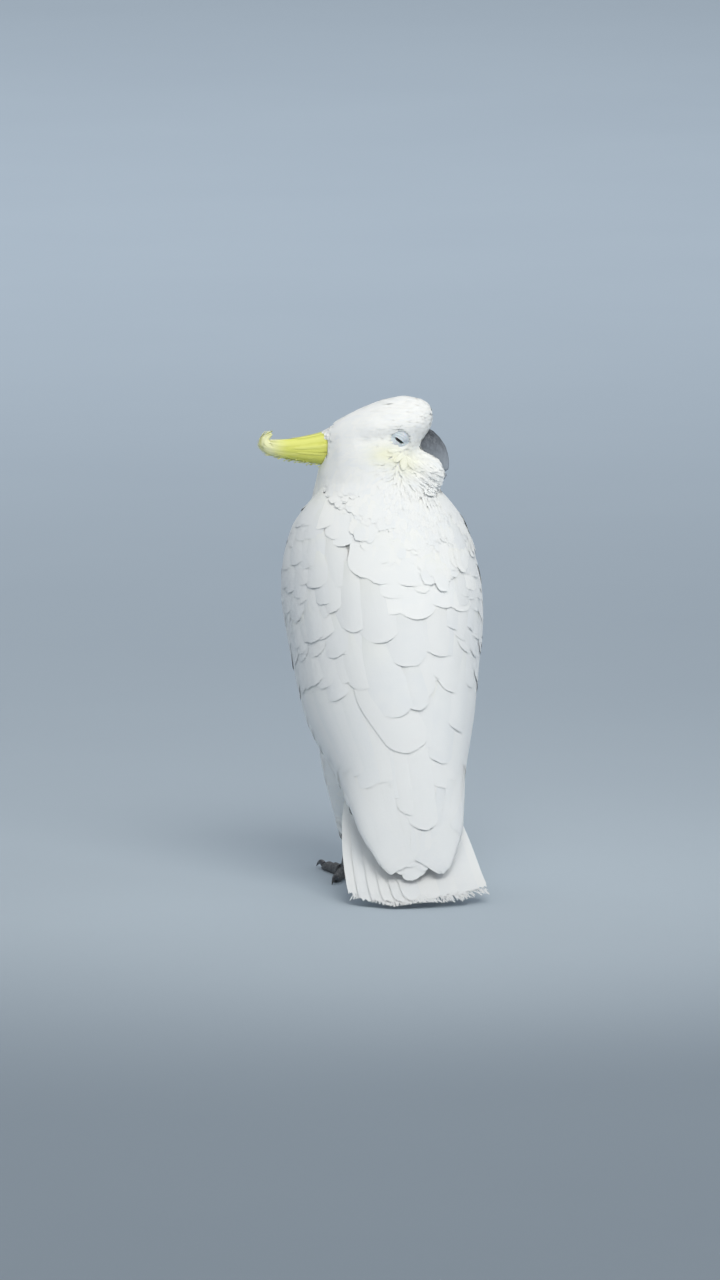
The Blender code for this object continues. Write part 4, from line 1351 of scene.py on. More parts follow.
    def sizes(self, points: Array) -> tuple[Array, Array, Array]:
        """Length, half width and spacing of the feathers at points."""
        values = read(self.table, HEAD.from_bill(points))
        return tuple((values * (1 - self.thigh_small * self.on_thigh(points)[:, None])).T)

    def grows(self, points: Array) -> Array:
        """Whether a contour feather shows there: not under a wing, and not on the bare skin round the eyes.
        """
        place, angle = self.body.place_and_angle(points)
        covered = (np.abs(angle) < self.back_half) & (self.above_margin(points) < self.tuck)
        covered |= (np.abs(angle) < self.wing_half) & (place < self.wing_top) & self.skin.on_wing(points)
        head = HEAD.from_bill(points) < self.head_ends
        return ~(covered & ~head) & (self.off_eye(points)[0] > 0)

    def waves(self, points: Array) -> Array:
        """The cape's lobes by place, from minus to plus one."""
        place, angle = self.body.place_and_angle(points)
        across, swing, bends, along, slant = self.lobe_turns
        return np.sin(angle * across + swing * np.sin(place * bends)) * np.sin(place * along + angle * slant)

    def settle(self, batch: Batch, lot: Lot) -> None:
        """Sets the mantle's feathers over the back's own form, rising over the wings at the cape's margin.

        Args:
            batch: feathers laid on the skin, moved in place.
            lot: the same, for their shape and tilt.
        """
        spots = batch.points.reshape(-1, 3)
        place, angle = self.body.place_and_angle(spots)
        share = ease(*self.settle_top, place) * ease(*self.settle_side, np.abs(angle))
        share = share * ease(*self.settle_low, self.above_margin(spots))
        tips = batch.points[:, -1, lot.shape.columns // 2]
        near = ease(self.cape_reach, 0.0, self.above_margin(tips))
        top = self.neck_top + (self.cape_top - self.neck_top) * near
        top = top * (1 - self.left_drop * ease(*self.left_low, self.body.place_and_angle(tips)[1]))
        top = top + self.lobe_high * self.waves(batch.roots) * near
        heights = replace(lot, low=top - self.cape_root, high=top).heights().reshape(-1)
        out = self.body.slopes(place, angle)[2]
        over = self.body.point(place, angle) + out * heights[:, None]
        batch.points = (spots + (over - spots) * share[:, None]).reshape(batch.points.shape)
        facing = batch.facing.reshape(-1, 3)
        batch.facing = unit(facing + (out - facing) * share[:, None]).reshape(batch.facing.shape)

    def lie(self, points: Array, normals: Array) -> Array:
        """The lie of the coat.

        Args:
            points: where.
            normals: the skin's normals there.

        Returns:
            Unit ways along the skin.
        """
        local = HEAD.inward(points)
        cheek = ease(*self.cheek_edge, self.cheek.at(points))[:, None]
        head_way = unit(np.array(self.head_lie) * (1 - cheek) + np.array(self.cheek_lie) * cheek) @ HEAD.axes
        fan, back, down = self.body_lie
        fans = np.clip((points[:, 0] - HEAD.shift[0]) / self.body_half, -1, 1) * fan
        body_way = np.stack([fans, back + 0 * fans, down + 0 * fans], 1)
        under = local[:, 2] + self.neck_slant * np.minimum(local[:, 0], 0)
        low = ease(*self.neck_edge, under)[:, None] * (1 - cheek)
        way = unit(head_way) * (1 - low) + unit(body_way) * low
        return unit(way - normals * np.sum(way * normals, 1, keepdims=True))

    def wash(self, points: Array) -> Array:
        """The sulphur wash of the ear coverts and cheeks."""
        return sum(spot.at(points) for spot in self.washes)

    def build(self, finish: Material) -> None:
        """Grows and joins the coat in pieces by region.

        Args:
            finish: the feathers' material.
        """
        rng = self.rng = np.random.default_rng(SEED)
        roots = self.skin.scatter(lambda points: self.sizes(points)[2], self.grows, rng)
        distance = HEAD.from_bill(roots)
        place, angle = self.body.place_and_angle(roots)
        crown, nape, neck, far = self.borders
        front, body = np.abs(angle) > 90, distance >= far
        regions = (
            ("coat_face", HEAD_FEATHER, distance < crown),
            ("coat_crown", HEAD_FEATHER, (distance >= crown) & (distance < nape)),
            ("coat_nape", NAPE_FEATHER, (distance >= nape) & (distance < neck)),
            ("coat_neck", BODY_FEATHER, (distance >= neck) & ~body),
            ("coat_mantle", BODY_FEATHER, body & ~front),
            ("coat_breast", BODY_FEATHER, body & front & (place > self.waist)),
            ("coat_belly", BODY_FEATHER, body & front & (place <= self.waist)),
        )
        for name, shape, chosen in regions:
            coat = Coat(name, self.skin, finish, self.sleek)
            coat.take(self.region(roots[chosen], shape), self.wash, self.base_wash)
            if name == "coat_belly":
                self.cuffs(coat, roots[chosen])
            coat.finish_piece()
        self.flanks(Coat("coat_flanks", self.skin, finish, self.sleek))
        self.strands(Coat("coat_cheek_strands", self.skin, finish, self.strand_sleek))

    def region(self, spots: Array, shape: Vane) -> Batch:
        """Grows the feathers of one region.

        Args:
            spots: their roots.
            shape: their shape.

        Returns:
            Those that lie over one smooth form and clear of the eye.
        """
        rng = self.rng
        length, half, _ = self.sizes(spots)
        depth = self.skin.depth(spots)
        drawn = rng.normal(size=(4, len(spots)))
        longer, wider, turned, higher = self.vary
        length, half = length * (1 + longer * drawn[0]), half * (1 + wider * drawn[1])
        far, towards = self.off_eye(spots)
        facing = np.sum(self.lie(spots, self.skin.nearest(spots)[1]) * towards, 1)
        short = np.minimum(length, np.maximum(far + self.past_ring, self.shortest))
        length = np.where(facing > self.towards_eye, short, length)
        axes = self.skin.walk(spots, self.lie, length, shape, turned * drawn[2])
        high = depth * (self.proud + higher * drawn[3]) + self.puff.at(spots)
        lot = Lot(half, high - self.root_depth * depth, high, shape, rng, self.edge_lift * drawn[1])
        batch = self.skin.lay(axes, lot)
        self.settle(batch, lot)
        gap = self.off_eye(batch.points.reshape(-1, 3))[0].reshape(len(spots), -1)
        return batch.chosen((gap > -self.over_ring).all(1) & batch.smooth)

    def cuffs(self, coat: Coat, roots: Array) -> None:
        """Hangs the lowest leg feathers past each cuff, over the top of the bare leg.

        Args:
            coat: the piece they join.
            roots: where the belly's and legs' feathers grow.
        """
        rng, shape, count = self.rng, self.cuff, self.cuff_count
        legs = roots[self.on_thigh(roots) > 0.9]
        for side in (-1, 1):
            leg = legs[side * (legs[:, 0] - HEAD.shift[0]) > 0]
            lowest = leg[:, 2].min()
            low = leg[leg[:, 2] < lowest + self.cuff_starts[1]]
            turn = np.linspace(0, math.tau, count, endpoint=False) + rng.normal(0, 0.05, count)
            out = np.stack([np.cos(turn), np.sin(turn), 0 * turn], 1)
            heights = lowest + rng.uniform(*self.cuff_starts, count)
            middle = np.array((*low[:, :2].mean(axis=0), 0.0))
            start = self.skin.nearest(middle + out * self.cuff_ring + heights[:, None] * UP)[0]
            t = shape.shares[None, :, None]
            fall = rng.uniform(*self.cuff_falls, count)[:, None, None] * t
            axes = start[:, None] - fall * UP + out[:, None] * (self.cuff_flare - self.cuff_close * t**2)
            lot = Lot(rng.uniform(*self.cuff_halves, count), -self.cuff_root, np.zeros(count), shape, rng)
            spots = axes[:, :, None] + lot.opened(axes, out[:, None])
            lot.tilt = rng.normal(0, 0.0002, count)
            facing = np.broadcast_to(out[:, None, None], spots.shape).copy()
            coat.take(lot.batch(spots + facing * lot.heights()[..., None], facing))

    def flanks(self, coat: Coat) -> None:
        """Side feathers that close over the front edges of the folded wings.

        Args:
            coat: the piece they make up.
        """
        rng, rows = self.rng, np.arange(*self.flank_places)
        count = len(rows)
        for side in Side:
            for index, inner in enumerate(self.flank_angles):
                places = rows + (index % 2) * self.flank_places[2] / 2 + rng.normal(0, 0.0015, count)
                angles = side.sign * (inner + rng.normal(0, 1.5, count))
                half = rng.uniform(*self.flank_halves, count)
                high = self.flank_top + rng.normal(0, 0.00008, count) - self.flank_step * index
                # The innermost row's inner edge tucks into the wing.
                tilt = -side.sign * (0.0011 if index == 0 else 0.0003)
                roots = places + self.flank_length, angles * 1.03
                lot = Lot(half, high - self.flank_root, high, self.flank, rng, tilt)
                coat.take(self.body.lay(roots, (places, angles), lot))
        coat.finish_piece()

    def strands(self, coat: Coat) -> None:
        """Loose, narrow cheek feathers that part over the fluffed cheek.

        Args:
            coat: the piece they make up.
        """
        rng = self.rng
        for side in (-1, 1):
            for ahead, up, count, length, lift in self.strand_areas:
                across, out = rng.uniform(*ahead, count), np.full(count, side * self.strand_out)
                local = np.stack([across, out, rng.uniform(*up, count)], 1)
                roots = self.skin.nearest(HEAD.outward(local))[0]
                half = rng.uniform(*self.strand_halves, count)
                lengths = length * rng.uniform(0.8, 1.2, count)
                axes = self.skin.walk(roots, self.lie, lengths, self.strand, rng.normal(0, 0.18, count))
                lot = Lot(half, self.strand_root, lift * rng.uniform(0.6, 1.3, count), self.strand, rng)
                coat.take(self.skin.lay(axes, lot), self.wash, self.base_wash)
        coat.finish_piece()


@dataclass(frozen=True)
class BackGroup:
    """One kind of back feather: what its feathers share, and a row for each.

    A row gives the root's place and angle, the tip's, the half width, the tip's height and the bow.
    """

    name: str
    buried: float
    rise: float
    sleek: float
    cup: float
    droop: float
    tip: float
    rows: tuple[tuple[float, ...], ...]


@dataclass
class BackFeathers:
    """The cape's broad lobes, and the scapulars and tertials that hang below it between the wings."""

    skin: Skin
    body: BodyGuide
    groups: tuple[BackGroup, ...] = (
        BackGroup("cape", 0.0026, 0.9, 0.55, 0.001, 0.0002, 0.85, (
            (0.345, -66, 0.317, -64, 0.016, 0.0008, 0),
            (0.345, -50, 0.311, -47, 0.014, 0.0011, 0),
            (0.342, -36, 0.3, -36, 0.01, 0.001, 0),
            (0.342, -26, 0.292, -30, 0.013, 0.0012, -2),
            (0.325, -14, 0.262, -20, 0.018, 0.0025, 3),
            (0.315, -4, 0.256, -13, 0.015, 0.0027, 2),
            (0.3, 0, 0.242, -7, 0.014, 0.0026, 2),
            (0.292, -1, 0.227, -5, 0.0135, 0.0026, -1),
            (0.285, 9, 0.2225, 8, 0.019, 0.0027, 0),
            (0.302, 7, 0.252, 6.5, 0.015, 0.0027, 0),
            (0.3, 27, 0.234, 25, 0.018, 0.0021, 0),
            (0.318, 43, 0.269, 37, 0.015, 0.0023, 0),
            (0.29, 42, 0.233, 38, 0.017, 0.002, 0),
            (0.31, 56, 0.255, 51, 0.017, 0.0019, 0),
            (0.335, 66, 0.285, 63, 0.016, 0.0012, 0),
        )),
        BackGroup("scapulars", 0.0016, 0.6, 0.3, 0.0018, 0.0003, 1.05, (
            (0.31, -38, 0.256, -37, 0.014, 0.0014, 0),
            (0.29, -42, 0.236, -42, 0.013, 0.0018, 0),
            (0.28, -27, 0.215, -29, 0.013, 0.0024, 0),
            (0.268, -17, 0.203, -12, 0.0185, 0.003, -1),
            (0.25, -2, 0.18, 3, 0.019, 0.0026, 0),
            (0.255, 22, 0.19, 24, 0.018, 0.0019, 0),
            (0.265, 44, 0.208, 42, 0.0165, 0.0016, 0),
            (0.28, 58, 0.238, 56, 0.015, 0.0015, 0),
        )),
        # The left shoulder's soft rounded coverts.
        BackGroup("shoulder", 0.0018, 0.6, 0.3, 0.0018, 0.0002, 0.95, (
            (0.318, -66, 0.286, -68, 0.012, 0.0018, 0),
            (0.312, -53, 0.279, -53, 0.0125, 0.0021, 0),
            (0.292, -62, 0.256, -66, 0.013, 0.002, 0),
            (0.295, -48, 0.26, -51, 0.0135, 0.0026, 0),
            (0.275, -72, 0.239, -74, 0.013, 0.0016, 0),
            (0.278, -44, 0.244, -46, 0.012, 0.0022, 0),
            (0.255, -58, 0.214, -58, 0.014, 0.0026, 0),
            (0.245, -72, 0.208, -74, 0.013, 0.0018, 0),
            (0.22, -66, 0.177, -65, 0.014, 0.0014, 0),
            (0.205, -50, 0.158, -48, 0.015, 0.001, 0),
        )),
        BackGroup("tertials", 0.0014, 0.6, 0.3, 0.0014, 0.0002, 1.0, (
            (0.225, -33, 0.164, -25, 0.014, 0.0019, -2),
            (0.215, -20, 0.137, -3.0, 0.018, 0.0028, -4),
            (0.2, 4, 0.141, 7.5, 0.011, 0.0024, 0),
            (0.205, -26, 0.106, 6.0, 0.0195, 0.0021, -8),
            (0.23, 10, 0.15, 6, 0.018, 0.0016, 0),
            (0.23, 38, 0.16, 32, 0.015, 0.0014, 0),
            (0.215, 50, 0.126, 43, 0.015, 0.0012, 0),
            (0.2, 30, 0.095, 27, 0.016, 0.001, 2),
            (0.16, 2, 0.034, 11.0, 0.013, 0.0016, -1),
            (0.15, -8, 0.048, 0.0, 0.013, 0.001, -2),
            (0.19, 12, 0.108, 14, 0.015, 0.0006, 0),
            (0.2, -10, 0.125, -16, 0.016, 0.0006, 0),
        )),
        BackGroup("rump", 0.0006, 0.8, 0.3, 0.0005, 0.0, 0.85, (
            (0.04, -26, -0.003, -27, 0.006, -0.0012, 0),
            (0.04, -15, -0.0095, -15, 0.0064, -0.0008, 0),
            (0.04, -4, -0.0075, -3, 0.006, -0.0011, 0),
            (0.04, 6, -0.002, 8, 0.0054, -0.0006, 0),
            (0.05, -8, 0.0015, -9, 0.006, -0.0001, 0),
        )),
    )
    tilt: float = 0.0002
    base_wash: float = 0.05

    def build(self, finish: Material, worn: Material) -> None:
        """Lays each group as one piece.

        Args:
            finish: the cape's material.
            worn: that of the long feathers below it, a greyer copy of the cape's white whose grey is partly
                wear and partly painted shade.
        """
        rng = np.random.default_rng(SEED + 1)
        form = {"rows": 24, "columns": 21, "root_width": 0.55, "fray": 0.0016, "shaft": 0.0001}
        for group in self.groups:
            shape = Vane(tip=group.tip, cup=group.cup, droop=group.droop, rise=group.rise, **form)
            rows = np.array(group.rows)
            half, high, bow = rows[:, 4:].T
            lot = Lot(half, high - group.buried, high, shape, rng, rng.normal(0, self.tilt, len(rows)))
            # Below the cape the feathers take the greyer copy, partly painted shade of the lower plumage.
            look = finish if group.name == "cape" else worn
            coat = Coat("coat_" + group.name, self.skin, look, group.sleek)
            coat.take(self.body.lay(rows[:, :2].T, rows[:, 2:4].T, lot, bow), None, self.base_wash)
            coat.finish_piece()


BLADE = Vane(rows=26, columns=15, root_width=0.8, widest=0.3, tip=0.9, cup=0.0002, fray=0.0006, shaft=0.00035)
SLEEK = Vane(rows=18, columns=15, root_width=0.6, tip=0.95, cup=0.0009, fray=0.0008, shaft=0.0001, rise=0.5)
SMALL = Vane(rows=14, columns=15, root_width=0.6, tip=0.85, cup=0.0017, fray=0.0016, rise=0.6, droop=0.0001)


@dataclass(frozen=True)
class WingRow:
    """One row of folded wing feathers, from the one nearest the back to the one at the front edge."""

    name: str
    angles: Pair
    # Places of the first and last tip, and how the others run between them.
    tips: Pair
    curve: float
    length: float
    half: float
    high: float
    buried: float
    # How much further round the body the roots stand than the tips.
    spread: float
    shape: Vane = SLEEK
    # Each feather's outer edge lies under its inner neighbour, as a folded wing closes.
    tilt: float = 0.0003
    sleek: float = 0.35


@dataclass
class Wing:
    """A folded wing: primaries, secondaries and three orders of coverts over the body's form."""

    side: Side
    skin: Skin
    body: BodyGuide
    count: int = 7
    # The rows that the part has as solids; the others lie over its coverts.
    solids: tuple[str, ...] = ("primaries", "secondaries")
    rows: tuple[WingRow, ...] = (
        WingRow("primaries", (14, 86), (0, 0), 1.0, 0.15, 0.0104, -0.0003, 0.001, 1.02, BLADE, 0.0007, 0.3),
        WingRow("secondaries", (14, 94), (0.064, 0.108), 0.8, 0.12, 0.0165, 0.0, 0.0004, 1.04),
        WingRow("greater", (14, 98), (0.166, 0.178), 1.0, 0.07, 0.0155, 0.0006, 0.0009, 1.02),
        WingRow("median", (18, 104), (0.196, 0.206), 1.0, 0.044, 0.014, 0.0012, 0.0014, 1.02),
    )
    # Primary tips by place and angle, from the back's middle outwards.
    left_tips: tuple[Pair, ...] = (
        (0.013, -4), (0.0055, 12), (0.0005, 30), (-0.0015, 47), (-0.0002, 61), (0.0065, 75), (0.021, 90),
    )
    right_tips: tuple[Pair, ...] = (
        (0.009, 10), (0.002, 22), (-0.0025, 37), (-0.0025, 53), (0.001, 68), (0.011, 83), (0.03, 90),
    )
    # How much angles, places, lengths, half widths and heights vary.
    vary: tuple[float, ...] = (1.6, 0.003, 0.04, 0.06, 0.00006)
    # The small coverts' rows: place of the tips, and the innermost angle.
    lesser_rows: tuple[Pair, ...] = (
        (0.217, 34), (0.233, 38), (0.249, 42), (0.266, 44), (0.284, 48), (0.302, 54), (0.318, 62),
    )
    lesser_count: int = 6
    lesser_outer: float = 104.0
    # How much their angles, places, swings and tilts vary.
    ruffle: tuple[float, ...] = (2.6, 0.003, 4.0, 0.0003)
    lesser_lengths: Pair = (0.028, 0.036)
    lesser_halves: Pair = (0.012, 0.016)
    lesser_high: float = 0.0013
    lesser_root: float = 0.0014
    # They sink towards the wing's front edge, under the flank feathers.
    sink: float = 0.0014
    sink_angles: Pair = (80, 104)
    lesser_sleek: float = 0.2
    base_wash: float = 0.06

    def lay_row(self, row: WingRow) -> Batch:
        """Lays one row.

        Args:
            row: its sizes.

        Returns:
            The laid feathers.
        """
        rng = self.rng
        share = np.linspace(0.0, 1.0, self.count)
        sign = self.side.sign
        turns, slides, longer, wider, higher = self.vary
        angle = row.angles[0] + (row.angles[1] - row.angles[0]) * share + rng.normal(0, turns, self.count)
        place = row.tips[0] + (row.tips[1] - row.tips[0]) * share**row.curve
        place = place + rng.normal(0, slides, self.count)
        if row.name == "primaries":
            place, angle = np.array(self.left_tips if self.side is Side.LEFT else self.right_tips).T
        length = row.length * (1 + longer * rng.normal(size=self.count))
        half = row.half * (1 + wider * rng.normal(size=self.count))
        high = row.high + rng.normal(0, higher, self.count)
        lot = Lot(half, high - row.buried, high, row.shape, rng, row.tilt * sign)
        return self.body.lay((place + length, sign * angle * row.spread), (place, sign * angle), lot)

    def lay_lesser(self) -> Batch:
        """Lays the small rounded coverts of the shoulder, a little ruffled.

        Returns:
            The laid feathers.
        """
        rng = self.rng
        sign, outer, each = self.side.sign, self.lesser_outer, self.lesser_count
        turns, slides, swings, tilts = self.ruffle
        places, angles = [], []
        for index, (low, inner) in enumerate(self.lesser_rows):
            row = np.linspace(inner, outer, each) + (index % 2) * (outer - inner) / each / 2
            angles.append(row + rng.normal(0, turns, each))
            places.append(low + rng.normal(0, slides, each))
        angle, place = np.concatenate(angles), np.concatenate(places)
        count = len(angle)
        length = rng.uniform(*self.lesser_lengths, count)
        swing = rng.normal(0, swings, count)
        half = rng.uniform(*self.lesser_halves, count)
        high = self.lesser_high + rng.uniform(0.0, 0.0007, count) - self.sink * ease(*self.sink_angles, angle)
        lot = Lot(half, high - self.lesser_root, high, SMALL, rng, rng.normal(0, tilts, count))
        return self.body.lay((place + length, sign * (angle + swing)), (place, sign * angle), lot)

    def build(self, finish: Material) -> None:
        """Lays the whole wing.

        Args:
            finish: the feathers' material.
        """
        self.rng = np.random.default_rng(SEED + 10 + (self.side is Side.LEFT))
        stem = f"wing_{self.side.value}_"
        for row in self.rows:
            coat = Coat(f"coat_{stem}{row.name}", self.skin, finish, row.sleek)
            coat.take(self.lay_row(row), None, self.base_wash)
            coat.finish_piece(*([stem + row.name] if row.name in self.solids else []))
        coat = Coat(f"coat_{stem}lesser", self.skin, finish, self.lesser_sleek)
        coat.take(self.lay_lesser(), None, self.base_wash)
        coat.finish_piece()


@dataclass
class Tail:
    """The fan of twelve tail feathers, the middle pair on top, worn at their ends."""

    skin: Skin
    guide: TailGuide
    shape: Vane = Vane(
        rows=34, columns=45, root_width=0.9, widest=0.5, tip=0.8, cup=0.0006, fray=0.0085, shaft=0.0004
    )
    outermost: float = 0.82
    root_span: float = 0.85
    half: float = 0.0122
    high: float = 0.0008
    root_depth: float = 0.0012
    step_down: float = 0.0072
    step_curve: float = 1.2
    bow: float = 0.05
    lean: float = 0.0008
    base_wash: float = 0.1
    sleek: float = 0.2
    # How far each feather reaches as a share of the fan's length, from the -X edge.
    reach: tuple[float, ...] = (
        0.87, 0.94, 0.978, 0.996, 1.0, 0.997, 0.991, 0.983, 0.972, 0.958, 0.94, 0.905,
    )
    # Loose barbs that fray the worn end: how many, where, how long, how wide and how high.
    barb: Vane = Vane(rows=6, columns=3, root_width=0.9, widest=0.2, tip=5.0, cup=0.0, rise=1.0)
    barbs: int = 260
    barb_span: float = 0.97
    barb_ends: Pair = (-0.02, 0.05)
    barb_lengths: Pair = (0.04, 0.08)
    barb_halves: Pair = (0.0003, 0.0008)
    barb_high: float = 0.001
    barb_heights: Pair = (-0.0002, 0.0006)
    barb_root: float = 0.0006
    barb_lean: float = 0.02
    # How much further the barbs reach towards the right.
    barb_skew: float = 0.6

    def build(self, finish: Material) -> None:
        """Lays the fan.

        Args:
            finish: the feathers' material.
        """
        rng = self.rng = np.random.default_rng(SEED + 20)
        count = len(self.reach)
        across = np.linspace(-self.outermost, self.outermost, count)
        reach = np.minimum(np.array(self.reach) + rng.normal(0, 0.003, count), 1.0)
        high = self.high - self.step_down * np.abs(across) ** self.step_curve
        half = self.half * (1 + 0.04 * rng.normal(size=count))
        lot = Lot(half, high - self.root_depth, high, self.shape, rng, -self.lean * np.sign(across))
        batch = self.guide.lay((0.0, across * self.root_span), (reach, across), lot, self.bow * across)
        coat = Coat("coat_tail_feathers", self.skin, finish, self.sleek)
        coat.take(batch, None, self.base_wash)
        coat.take(self.loose(across, reach))
        coat.finish_piece("tail")

    def loose(self, across: Array, reach: Array) -> Batch:
        """Lays the loose barbs that fray the fan's worn end, longest towards the right.

        Args:
            across: where each feather lies.
            reach: how far each reaches.

        Returns:
            The laid barbs.
        """
        rng = self.rng
        where = rng.uniform(-self.barb_span, self.barb_span, self.barbs)
        skew = self.barb_skew + self.barb_skew * where
        end = np.interp(where, across, reach) + rng.uniform(*self.barb_ends, self.barbs) * skew
        lean = rng.normal(0, self.barb_lean, self.barbs) + self.barb_lean * where
        start = end - rng.uniform(*self.barb_lengths, self.barbs)
        half = rng.uniform(*self.barb_halves, self.barbs)
        high = self.barb_high - self.step_down * np.abs(where) ** self.step_curve
        high = high + rng.uniform(*self.barb_heights, self.barbs)
        lot = Lot(half, high - self.barb_root, high, self.barb, rng)
        return self.guide.lay((start, where - lean), (end, where + lean), lot)


@dataclass
class Crest:
    """The folded crest: long lemon feathers that close on each other and turn up at the end."""

    skin: Skin
    guide: CrestGuide
    # An inner layer closes the form; the outer strands end at different lengths.
    inner: Vane = Vane(rows=44, columns=7, root_width=0.9, tip=1.6, cup=0.0, fray=0.001)
    inner_step: float = 24.0
    inner_end: float = 0.985
    outer: Vane = Vane(rows=30, columns=5, root_width=0.8, widest=0.3, tip=4.5, cup=0.0003, shaft=0.0002)
    outer_count: int = 70
    outer_ends: Pair = (0.5, 0.99)
    start: float = -0.02
    # Where the crest pales towards its turned-up end, in the head's own axes, and by how much: partly wear,
    # partly painted highlight where the curl faces the light.
    pales: Pair = (-0.096, -0.118)
    pale_end_and_highlight: float = 0.85
    sleek: float = 0.2
    # Loose barbs that fringe the lower edge and the turned-up end.
    barb: Vane = Vane(rows=8, columns=3, root_width=0.9, widest=0.2, tip=6.0, cup=0.0, rise=1.4)
    barbs: int = 150
    barb_starts: Pair = (0.02, 0.94)
    barb_lengths: Pair = (0.05, 0.12)
    barb_end: float = 0.99
    barb_turns: Pair = (34, 16)
    barb_halves: Pair = (0.00016, 0.00032)
    barb_heights: Pair = (0.0006, 0.0034)
    # White crown feathers over the crest's root, longest along its top.
    cover: Vane = Vane(rows=16, columns=5, root_width=0.7, tip=2.0, cup=0.0002, fray=0.001, rise=0.6)
    cover_count: int = 150
    cover_start: float = -0.16
    cover_ends: Pair = (0.1, 0.14)
    cover_halves: Pair = (0.002, 0.0032)
    cover_heights: Pair = (0.0004, 0.0009)
    cover_root: float = 0.004
    cover_sleek: float = 0.8

    def build(self, finish: Material, white: Material) -> None:
        """Lays the crest, and the crown feathers over its root.

        Args:
            finish: its material.
            white: the crown feathers' material.
        """
        rng = self.rng = np.random.default_rng(SEED + 30)
        coat = Coat("coat_crest", self.skin, finish, self.sleek, "crest_feathers")
        angles = np.arange(0, 360, self.inner_step)
        ends = np.full(len(angles), self.inner_end)
        coat.take(self.strands(angles, ends, 0.0, 0.0032, (-0.0012, -0.0002), self.inner), self.paler)
        count = self.outer_count
        angles = np.linspace(0, 360, count, endpoint=False) + rng.normal(0, 4, count)
        ends = rng.uniform(*self.outer_ends, count)
        coat.take(self.strands(angles, ends, 10.0, 0.0015, (-0.0005, 0.0007), self.outer), self.paler)
        coat.take(self.loose(), self.paler)
        coat.finish_piece("crest")
        coat = Coat("coat_crest_cover", self.skin, white, self.cover_sleek)
        coat.take(self.covers())
        coat.finish_piece()

    def paler(self, points: Array) -> Array:
        """The crest's pale end: partly worn, partly painted highlight where it curls up to the light."""
        return self.pale_end_and_highlight * ease(*self.pales, HEAD.inward(points)[:, 0])

    def strands(
        self, angles: Array, ends: Array, wander: float, half: float, heights: Pair, shape: Vane
    ) -> Batch:
        """Lays strands that run along the crest from its root.

        Args:
            angles: where round the crest each starts.
            ends: how far along each reaches.
            wander: how far its end strays round the crest.
            half: their half width.
            heights: how far roots and tips stand off the form.
            shape: their shape.

        Returns:
            The laid strands.
        """
        rng, count = self.rng, len(angles)
        strays = angles + rng.normal(0, 1, count) * wander
        widths = half * rng.uniform(0.7, 1.3, count)
        lot = Lot(widths, heights[0], heights[1] * rng.uniform(0.4, 1.5, count), shape, rng)
        return self.guide.lay((self.start, angles), (ends, strays), lot)

    def loose(self) -> Batch:
        """Lays the loose barbs.

        Returns:
            The laid barbs.
        """
        rng, count = self.rng, self.barbs
        start = rng.uniform(*self.barb_starts, count)
        angle = 180 + rng.normal(0, self.barb_turns[0], count)
        end = np.minimum(start + rng.uniform(*self.barb_lengths, count), self.barb_end)
        turned = angle + rng.normal(0, self.barb_turns[1], count)
        half, high = rng.uniform(*self.barb_halves, count), rng.uniform(*self.barb_heights, count)
        lot = Lot(half, 0.0, high, self.barb, rng)
        return self.guide.lay((start, angle), (end, turned), lot)

    def covers(self) -> Batch:
        """Lays the white crown feathers.

        Returns:
            The laid feathers.
        """
        rng, count = self.rng, self.cover_count
        turn = np.linspace(-180, 180, count, endpoint=False) + rng.normal(0, 3, count)
        top = 0.5 + 0.5 * np.cos(np.radians(turn))
        short, more = self.cover_ends
        end = short + more * top**1.5 + rng.normal(0, 0.02, count)
        turned = turn + rng.normal(0, 4, count)
        half = rng.uniform(*self.cover_halves, count)
        high = rng.uniform(*self.cover_heights, count)
        lot = Lot(half, high - self.cover_root, high, self.cover, rng)
        return self.guide.lay((self.cover_start, turn), (end, turned), lot)


# ---- face and feet


@dataclass
class SmoothSolid:
    """A small solid made smooth, with a relief of its own."""

    node: str
    name: str
    slot: str
    voxel: float
    rounds: int
    # How much of a face's size smoothing takes off, and is put back.
    regain: float

    def lift(self, points: Array) -> Array:
        """How far the relief moves each point out."""
        raise NotImplementedError

    def build(self, finish: Material) -> None:
        """Builds the piece.

        Args:
            finish: its material.
        """
        mesh = remeshed(self.name, (self.node,), self.voxel, 0.0, self.rounds)
        points = rows_of(mesh.vertices, "co")
        lift = self.voxel * self.regain + self.lift(points)
        moved = points + rows_of(mesh.vertex_normals, "vector") * lift[:, None]
        moved[:, 2] = np.maximum(moved[:, 2], 0.0)
        hand_over(reshaped(self.name, mesh, moved, finish), self.slot, self.node)


@dataclass
class HornPart(SmoothSolid):
    """A horn solid with growth ridges across it."""

    rounds: int = 10
    regain: float = 0.35
    ridge: float = 0.00006
    spacing: float = 0.0016
    # What the ridges ring, in the head's own axes.
    centre: Pair = (0.006, -0.03)

    def lift(self, points: Array) -> Array:
        """The growth ridges."""
        local = HEAD.inward(points)
        run = np.hypot(local[:, 0] - self.centre[0], local[:, 2] - self.centre[1])
        return self.ridge * np.sin(run / self.spacing * math.tau)


@dataclass
class ScaledPart(SmoothSolid):
    """A leg or toe solid with scutes across it, and a fine grain."""

    along: Array = field(kw_only=True)
    slot: str = "foot_scale"
    voxel: float = 0.0008
    rounds: int = 6
    regain: float = 0.3
    scute: float = 0.0024
    relief: float = 0.00022
    plate_middle: float = 0.6
    grain: float = 0.0001
    grain_scale: float = 600

    def lift(self, points: Array) -> Array:
        """The scutes and the grain."""
        run = points @ self.along / self.scute
        plates = np.sin(math.pi * (run - np.floor(run))) ** 0.5
        grains = np.array([noise.noise(Vector(point) * self.grain_scale) for point in points.tolist()])
        return self.relief * (plates - self.plate_middle) + self.grain * grains


